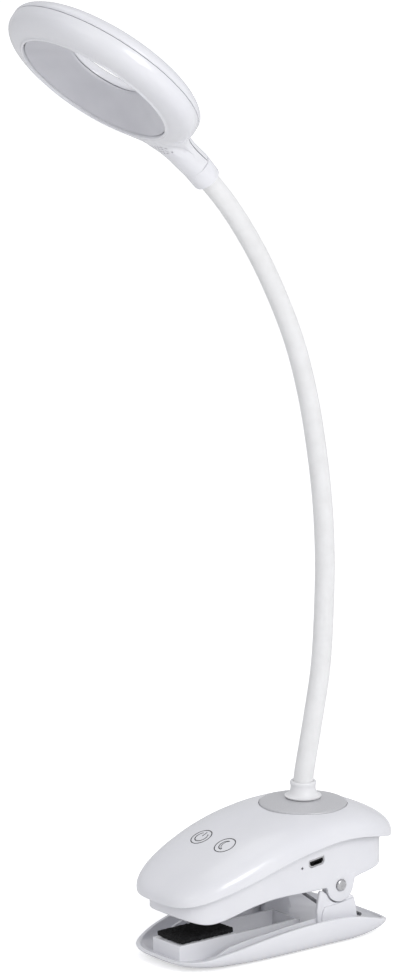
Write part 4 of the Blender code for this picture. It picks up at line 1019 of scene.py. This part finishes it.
def tray_fins():
    """Low inner walls that run forward from the ears, bend inwards and taper off."""
    fin = millimetres([(-66, 4.6), (-62, 5.6), (-58.5, 7.4), (-56, 8.6), (-50, 10.0), (-44, 11.0),
                       (-28, 12.5), (-11, 13.4), (-11, 1.8), (-40, 2.0), (-50, 2.3), (-60, 2.9), (-66, 3.6)])
    fins = []
    for side in (-1, 1):
        made = plate(fin, side * 21.2 * MM, side * 22.5 * MM, 0.3 * MM)
        bmesh.ops.subdivide_edges(made, edges=made.edges[:], cuts=3, use_grid_fill=True)
        for vert in made.verts:
            ahead = max(-vert.co.y - FIN_BEND_START, 0.0) / FIN_LENGTH
            vert.co.x -= side * FIN_BEND * ahead ** 2
        fins.append(made)
    return fins


def build_pin():
    """Hinge pin with a domed head, and the cap pressed on its far end."""
    low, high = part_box("hinge_pin")
    middle = middle_of("hinge_pin")
    placing = Matrix.Translation((0, middle.y, middle.z)) @ Matrix.Rotation(pi / 2, 4, "Y")
    shank, head = 1.9 * MM, high.z - middle.z
    shoulder = high.x - 0.9 * MM
    dome = []
    for angle in (0, 20, 40, 60, 75):
        turn = radians(angle)
        dome.append((head * cos(turn), shoulder + 0.35 * MM + 0.55 * MM * sin(turn)))
    profile = [(0, low.x), (1.6 * MM, low.x), (shank, low.x + 0.3 * MM), (shank, shoulder), (head, shoulder)]
    pin = turned(profile + dome + [(0, high.x)], 48, placing)
    piece("pivot_pin", pin, "steel", "lower_jaw", ["hinge_pin"])
    low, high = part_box("pin_cap")
    radius, bore, floor = high.z - middle.z, 2.1 * MM, low.x + 0.35 * MM
    profile = [(0, low.x), (radius - 0.8 * MM, low.x), (radius - 0.2 * MM, low.x + 0.25 * MM),
               (radius, low.x + 0.6 * MM), (radius, high.x), (bore, high.x), (bore, floor), (0, floor)]
    piece("pivot_cap", turned(profile, 48, placing), "steel", "lower_jaw", ["pin_cap"])


def ring_round(centre, across, other, radius, sides):
    """Points of a circle in space, from across towards other."""
    turns = [2 * pi * k / sides for k in range(sides)]
    return [tuple(centre + (across * cos(turn) + other * sin(turn)) * radius) for turn in turns]


def heading(points, i):
    """Direction of a line of points at one of them."""
    return (points[min(i + 1, len(points) - 1)] - points[max(i - 1, 0)]).normalized()


def wire(points, radius, sides=14):
    """A round wire with flat ends along points, its rings carried without twist."""
    rings = []
    across = heading(points, 0).orthogonal().normalized()
    for i, point in enumerate(points):
        along = heading(points, i)
        across = (across - along * across.dot(along)).normalized()
        rings.append(ring_round(point, across, along.cross(across), radius, sides))
    return lofted(rings)


def build_spring():
    """Leg and foot on the tray, coil round the pin, and the leg under the housing."""
    pin = middle_of("hinge_pin")
    low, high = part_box("torsion_spring")
    lower_turn = radians(233)
    upper_turn = radians(90) - 2 * pi * SPRING_TURNS
    x, bend, thick = SPRING_START_X, SPRING_BEND, SPRING_WIRE / 2
    foot_y = high.y - thick
    foot_z = low.z + thick

    def on_coil(share):
        turn = lower_turn + (upper_turn - lower_turn) * share
        return Vector((x + SPRING_PITCH * SPRING_TURNS * share, pin.y + SPRING_RADIUS * cos(turn),
                       pin.z + SPRING_RADIUS * sin(turn)))

    first = on_coil(0.0)
    touch_y = first.y + (foot_z - first.z) / tan(lower_turn - pi / 2)
    leg = [Vector((high.x, foot_y, foot_z)), Vector((x + bend, foot_y, foot_z))]
    for angle in (30, 60, 90):
        turn = radians(angle)
        leg.append(Vector((x + bend * (1 - sin(turn)), foot_y - bend * (1 - cos(turn)), foot_z)))
    leg += [Vector((x, touch_y + 1.4 * MM, foot_z)), Vector((x, touch_y + 0.4 * MM, foot_z + 0.12 * MM))]
    knee = Vector((x, touch_y - 0.6 * MM, foot_z + 0.7 * MM))
    leg += [knee] + [knee.lerp(first, share) for share in (0.15, 0.5, 0.85, 1.0)]
    piece("spring_lower_leg", wire(leg, thick), "spring_steel", "lower_jaw")
    coil = [on_coil(i / SPRING_STEPS) for i in range(SPRING_STEPS + 1)]
    last = coil[-1]
    made = piece("spring_coil", wire(coil, thick), "spring_steel", None, ["torsion_spring"])
    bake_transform(made)
    drops = ((6, 0.05), (14, 0.4), (24, 1.2))
    upper = [last] + [Vector((last.x, y * MM, last.z - drop * MM)) for y, drop in drops]
    piece("spring_upper_leg", wire(upper, thick), "spring_steel", "upper_jaw")


# ---------------------------------------------------------------- gooseneck

def neck_stations():
    """Foot, the joints in order from the base, and the head end of the gooseneck."""
    bends = [joint for joint in frame["joints"] if joint["name"].startswith("neck_bend")]
    bends.sort(key=lambda joint: joint["pos_m"][2])
    joints = [Vector(joint["pos_m"]) for joint in bends]
    bodies = [bends[0]["parent"]] + [joint["child"] for joint in bends]
    foot = Vector((0, 0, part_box("neck_sleeve_01")[0].z))
    low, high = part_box("neck_sleeve_13")
    end = Vector((0, low.y + SLEEVE_RADIUS * 0.75, high.z - 2.6 * MM))
    return [foot] + joints + [end], bodies


def smooth_centre(stations, steps):
    """Points of a smooth line through the stations, in one list per span."""
    spans = []
    count = len(stations)
    for i in range(count - 1):
        before, after = stations[max(i - 1, 0)], stations[min(i + 2, count - 1)]
        start, end = stations[i], stations[i + 1]
        points = []
        for k in range(steps + 1):
            t = k / steps
            points.append(0.5 * (2 * start + (end - before) * t
                                 + (2 * before - 5 * start + 4 * end - after) * t * t
                                 + (3 * start - before - 3 * end + after) * t ** 3))
        spans.append(points)
    return spans


def hose(centres, radius_at, bore, sides):
    """A tube with walls along points in the plane X = 0; radius_at gives its outer radius along it."""
    outer, inner = [], []
    across = Vector((1, 0, 0))
    for i, centre in enumerate(centres):
        other = heading(centres, i).cross(across).normalized()
        outer.append(ring_round(centre, across, other, radius_at(i), sides))
        inner.append(ring_round(centre, across, other, bore, sides))
    return lofted(outer + list(reversed(inner)), False)


def corrugated(centres):
    """The wound steel hose along a line of points, which gets four rings per step to carry the waves."""
    fine = []
    for a, b in zip(centres, centres[1:]):
        fine += [a.lerp(b, share / 4) for share in range(4)]
    fine.append(centres[-1])
    lengths = [0.0]
    for a, b in zip(fine, fine[1:]):
        lengths.append(lengths[-1] + (b - a).length)

    def ribbed(k):
        return CONDUIT_RADIUS - CONDUIT_WAVE * (1 - cos(2 * pi * lengths[k] / CONDUIT_PITCH)) / 2

    return hose(fine, ribbed, CONDUIT_BORE, 20)


def build_gooseneck():
    """One sleeve and one corrugated hose piece over each joint, from the middle of a span to the next."""
    stations, bodies = neck_stations()
    spans = smooth_centre(stations, SPAN_STEPS)
    joints = len(spans) - 1
    half = SPAN_STEPS // 2
    for i in range(joints):
        last = i == joints - 1
        before = spans[i] if i == 0 else spans[i][half:]
        after = spans[i + 1] if last else spans[i + 1][:half + 1]
        centres = before + after[1:]
        numbers = (i + 1, i + 2) if last else (i + 1,)
        tube = hose(centres, lambda k: SLEEVE_RADIUS, SLEEVE_BORE, 48)
        nodes = [f"neck_sleeve_{number:02d}" for number in numbers]
        made = piece(f"sleeve_{i + 1:02d}", tube, "sleeve_white", None, nodes, 50)
        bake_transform(made)
        nodes = [f"neck_conduit_{number:02d}" for number in numbers]
        made = piece(f"hose_{i + 1:02d}", corrugated(centres), "conduit_steel", None, nodes, 60)
        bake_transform(made)


# ---------------------------------------------------------------- ring head

def head_placing():
    """Frame of the head: centre of the light opening, turned by the head's tilt."""
    turn = Matrix.Rotation(-HEAD_TILT, 4, "X")
    board = middle_of("led_ring_board")
    return Matrix.Translation(board) @ turn @ Matrix.Translation((0, 0, -HEAD_BOARD_Z))


def head_plan():
    """A circle that flows through two fillets into the narrow neck along +Y."""
    fillet_x = NECK_HALF_WIDTH + NECK_FILLET
    fillet_y = sqrt((HEAD_RADIUS + NECK_FILLET) ** 2 - fillet_x ** 2)
    touch = atan2(fillet_x, fillet_y)
    half = [(NECK_HALF_WIDTH * sin(radians(a)), NECK_END) for a in range(0, 91, 9)]
    half += [(NECK_HALF_WIDTH, NECK_END + (fillet_y - NECK_END) * k / 5) for k in (1, 2, 3, 4)]
    fillet_end = acos(fillet_x / (HEAD_RADIUS + NECK_FILLET))
    for i in range(17):
        turn = pi + fillet_end * i / 16
        half.append((fillet_x + NECK_FILLET * cos(turn), fillet_y + NECK_FILLET * sin(turn)))
    steps = 60
    for i in range(1, steps + 1):
        turn = touch + (pi - touch) * i / steps
        half.append((HEAD_RADIUS * sin(turn), HEAD_RADIUS * cos(turn)))
    return half + [(-x, y) for x, y in reversed(half[1:-1])]


def neck_share(y):
    """How far a place has gone over from the ring's section (0) to the neck's (1)."""
    t = min(max((y - NECK_START) / (NECK_END - 6 * MM - NECK_START), 0.0), 1.0)
    return t * t * (3 - 2 * t)


def neck_height(x, side):
    """Height of the neck's oval section, below (side -1) or above (side 1)."""
    across = min(abs(x) / NECK_HALF_WIDTH, 1.0)
    return NECK_Z + side * NECK_RISE * sqrt(1 - across * across)


def head_ring(plan, inner_radius, share, z, inset=0.0, side=0):
    """Points a share of the way from a circle to the plan, rounded into the neck where side is -1 or 1."""
    ring = []
    for x, y in plan:
        reach = hypot(x, y)
        radius = inner_radius + (reach - inset - inner_radius) * share
        x, y = x / reach * radius, y / reach * radius
        mix = neck_share(y) if side else 0.0
        if side < 0:
            round_z = min(neck_height(x, side) + inset, HEAD_BELLY_Z)
        else:
            round_z = max(neck_height(x, side) - inset, HEAD_SEAM_Z + GAP)
        ring.append((x, y, z * (1 - mix) + round_z * mix))
    return ring


def in_head(bm):
    """Move a mesh from the head's own frame to the row frame."""
    bmesh.ops.transform(bm, matrix=head_placing(), verts=bm.verts)
    return bm


def circle_ring(plan, radius, z):
    return [(x / hypot(x, y) * radius, y / hypot(x, y) * radius, z) for x, y in plan]


def build_head_lower():
    """Rounded underside with a rolled lip round the light opening, vents in the neck and the seam step."""
    plan = head_plan()
    opening, wall = HEAD_OPENING, HEAD_WALL
    bead = [(0.05, 1.2), (0.0, 0.1), (0.08, -0.3), (0.3, -0.55), (0.62, -0.65), (0.95, -0.55), (1.2, -0.3),
            (1.35, 0.0), (1.6, 0.12)]
    rings = [circle_ring(plan, opening + out * MM, z * MM) for out, z in bead]
    for angle in (12, 20, 28, 36, 44, 52, 59, 66, 72, 78, 84, 90):
        z = HEAD_BELLY_Z * (1 - cos(radians(angle)))
        rings.append(head_ring(plan, opening, sin(radians(angle)), z, 0.0, -1))
    rings.append(head_ring(plan, opening, 0.998, HEAD_SEAM_Z - 0.3 * MM))
    rings.append(head_ring(plan, opening, HEAD_SHOULDER, HEAD_SEAM_Z))
    rings.append(head_ring(plan, opening, HEAD_SHOULDER, HEAD_SEAM_Z, wall))
    rings.append(head_ring(plan, opening, 1.0, HEAD_BELLY_Z + 0.4 * MM, wall))
    for angle in (75, 60, 45, 30, 15, 0):
        z = HEAD_BELLY_Z * (1 - cos(radians(angle)))
        rings.append(head_ring(plan, opening + 0.05 * MM, sin(radians(angle)), wall + z * 0.8, wall, -1))
    shell = lofted(rings, False)
    vents = []
    for row in range(4):
        for column in range(5):
            x = (column - 2 + (row % 2) / 2) * VENT_PITCH[0]
            y = VENT_Y + row * VENT_PITCH[1]
            vents.append(rod(VENT_RADIUS, (x, y, -4 * MM), (x, y, 5.5 * MM), 12))
    shell = combined(shell, [joined(vents)], "DIFFERENCE")
    piece("head_belly", in_head(shell), "white_gloss", "head", ["head_lower_shell"], 40)


def build_head_top():
    """Domed back of the ring, rolled in to the central hole."""
    plan = head_plan()
    crown, hole, wall = HEAD_CROWN, HEAD_HOLE, HEAD_WALL
    seam = HEAD_SEAM_Z + GAP
    rise = HEAD_CROWN_Z - seam
    rings = [head_ring(plan, crown, HEAD_SHOULDER, seam), head_ring(plan, crown, 0.998, seam + 0.3 * MM)]
    for angle in (5, 10, 16, 23, 31, 40, 49, 58, 67, 76, 84, 90):
        rings.append(head_ring(plan, crown, cos(radians(angle)), seam + rise * sin(radians(angle)), 0.0, 1))
    lip = HEAD_CROWN_Z - HEAD_HOLE_Z - 1.6 * MM
    for angle in (12, 24, 36, 48, 60, 70, 80, 90):
        radius = crown - (crown - hole) * sin(radians(angle))
        rings.append(circle_ring(plan, radius, HEAD_CROWN_Z - lip * (1 - cos(radians(angle)))))
    inner_lip = HEAD_HOLE_Z + 0.9 * MM
    rings.append(circle_ring(plan, hole, inner_lip + 0.2 * MM))
    rings.append(circle_ring(plan, hole + 0.2 * MM, inner_lip))
    rings.append(circle_ring(plan, hole + wall, inner_lip))
    rings.append(head_ring(plan, crown, 0.0, HEAD_CROWN_Z - wall))
    for angle in (60, 35, 12):
        turn = radians(angle)
        rings.append(head_ring(plan, crown, cos(turn), seam + (rise - wall) * sin(turn), wall, 1))
    rings.append(head_ring(plan, crown, 1.0, seam, wall))
    shell = in_head(lofted(rings, False))
    piece("head_back", shell, "white_gloss", "head", ["head_top_shell"], 40)


def build_diffuser():
    """Thin frosted cone with a slightly hollow face and a turned-up lip at the central hole."""
    rim = HEAD_OPENING - GAP
    foot, top = 0.7 * MM, HEAD_HOLE_Z
    steps = 14
    face = []
    for i in range(steps + 1):
        share = i / steps
        radius = rim + (HEAD_HOLE - rim) * share
        face.append((radius, foot + (top - 0.5 * MM - foot) * share + 0.5 * MM * sin(pi * share)))
    back = [(radius, z + 0.9 * MM) for radius, z in face]
    back[-1] = (back[-1][0] + 0.1 * MM, back[-1][1])
    lip = HEAD_HOLE - 0.25 * MM
    profile = face + [(lip, top - 0.2 * MM), (lip, top + 0.5 * MM)] + list(reversed(back))
    cone = in_head(turned(profile, 144))
    piece("light_diffuser", cone, "diffuser", "head", ["cone_diffuser"], 50)


def build_head_collar():
    """Ferrule where the gooseneck enters the neck of the head."""
    start = head_placing() @ Vector((0, NECK_END + GAP, NECK_Z))
    target = neck_stations()[0][-2]
    along = (target - start).normalized()
    start += along * 0.2 * MM
    bore = SLEEVE_RADIUS + 0.15 * MM
    length = 8.6 * MM
    profile = [(bore, 0.2 * MM), (5.9 * MM, 0), (6.15 * MM, 0.25 * MM), (6.2 * MM, 0.8 * MM),
               (6.1 * MM, length * 0.55), (6.0 * MM, length - 0.9 * MM), (5.85 * MM, length - 0.35 * MM),
               (5.4 * MM, length), (bore, length)]
    piece("head_ferrule", turned(profile, 64, aimed(start, along)), "white_gloss", "head", ["head_collar"])


# ---------------------------------------------------------------- carried-over nodes

KEPT_NODES = {
    "steel": ["neck_nut", "housing_screw_1", "housing_screw_2", "housing_screw_3", "housing_screw_4"],
    "battery_wrap": ["battery_cell"],
    "board_green": ["main_board", "charge_board", "touch_board"],
    "board_white": ["led_ring_board"],
    "spring_steel": ["power_touch_spring", "moon_touch_spring"],
}


def finish_kept_nodes():
    """Inner parts whose shape is right keep their mesh, and take a detailed material and eased edges."""
    for material, name in [(material, name) for material, names in KEPT_NODES.items() for name in names]:
        node = frame["nodes"][name]
        node.data.materials.clear()
        node.data.materials.append(materials[material])
        ease = node.modifiers.new("ease", "BEVEL")
        ease.width = 0.12 * MM
        ease.segments = 2
        ease.limit_method = "ANGLE"


materials = make_materials()
make_camera()
make_studio()
build_cover()
build_icons()
build_disc()
build_collar()
build_housing()
build_charging_port()
build_pads()
build_tray()
build_pin()
build_spring()
build_gooseneck()
build_head_lower()
build_head_top()
build_diffuser()
build_head_collar()
finish_kept_nodes()
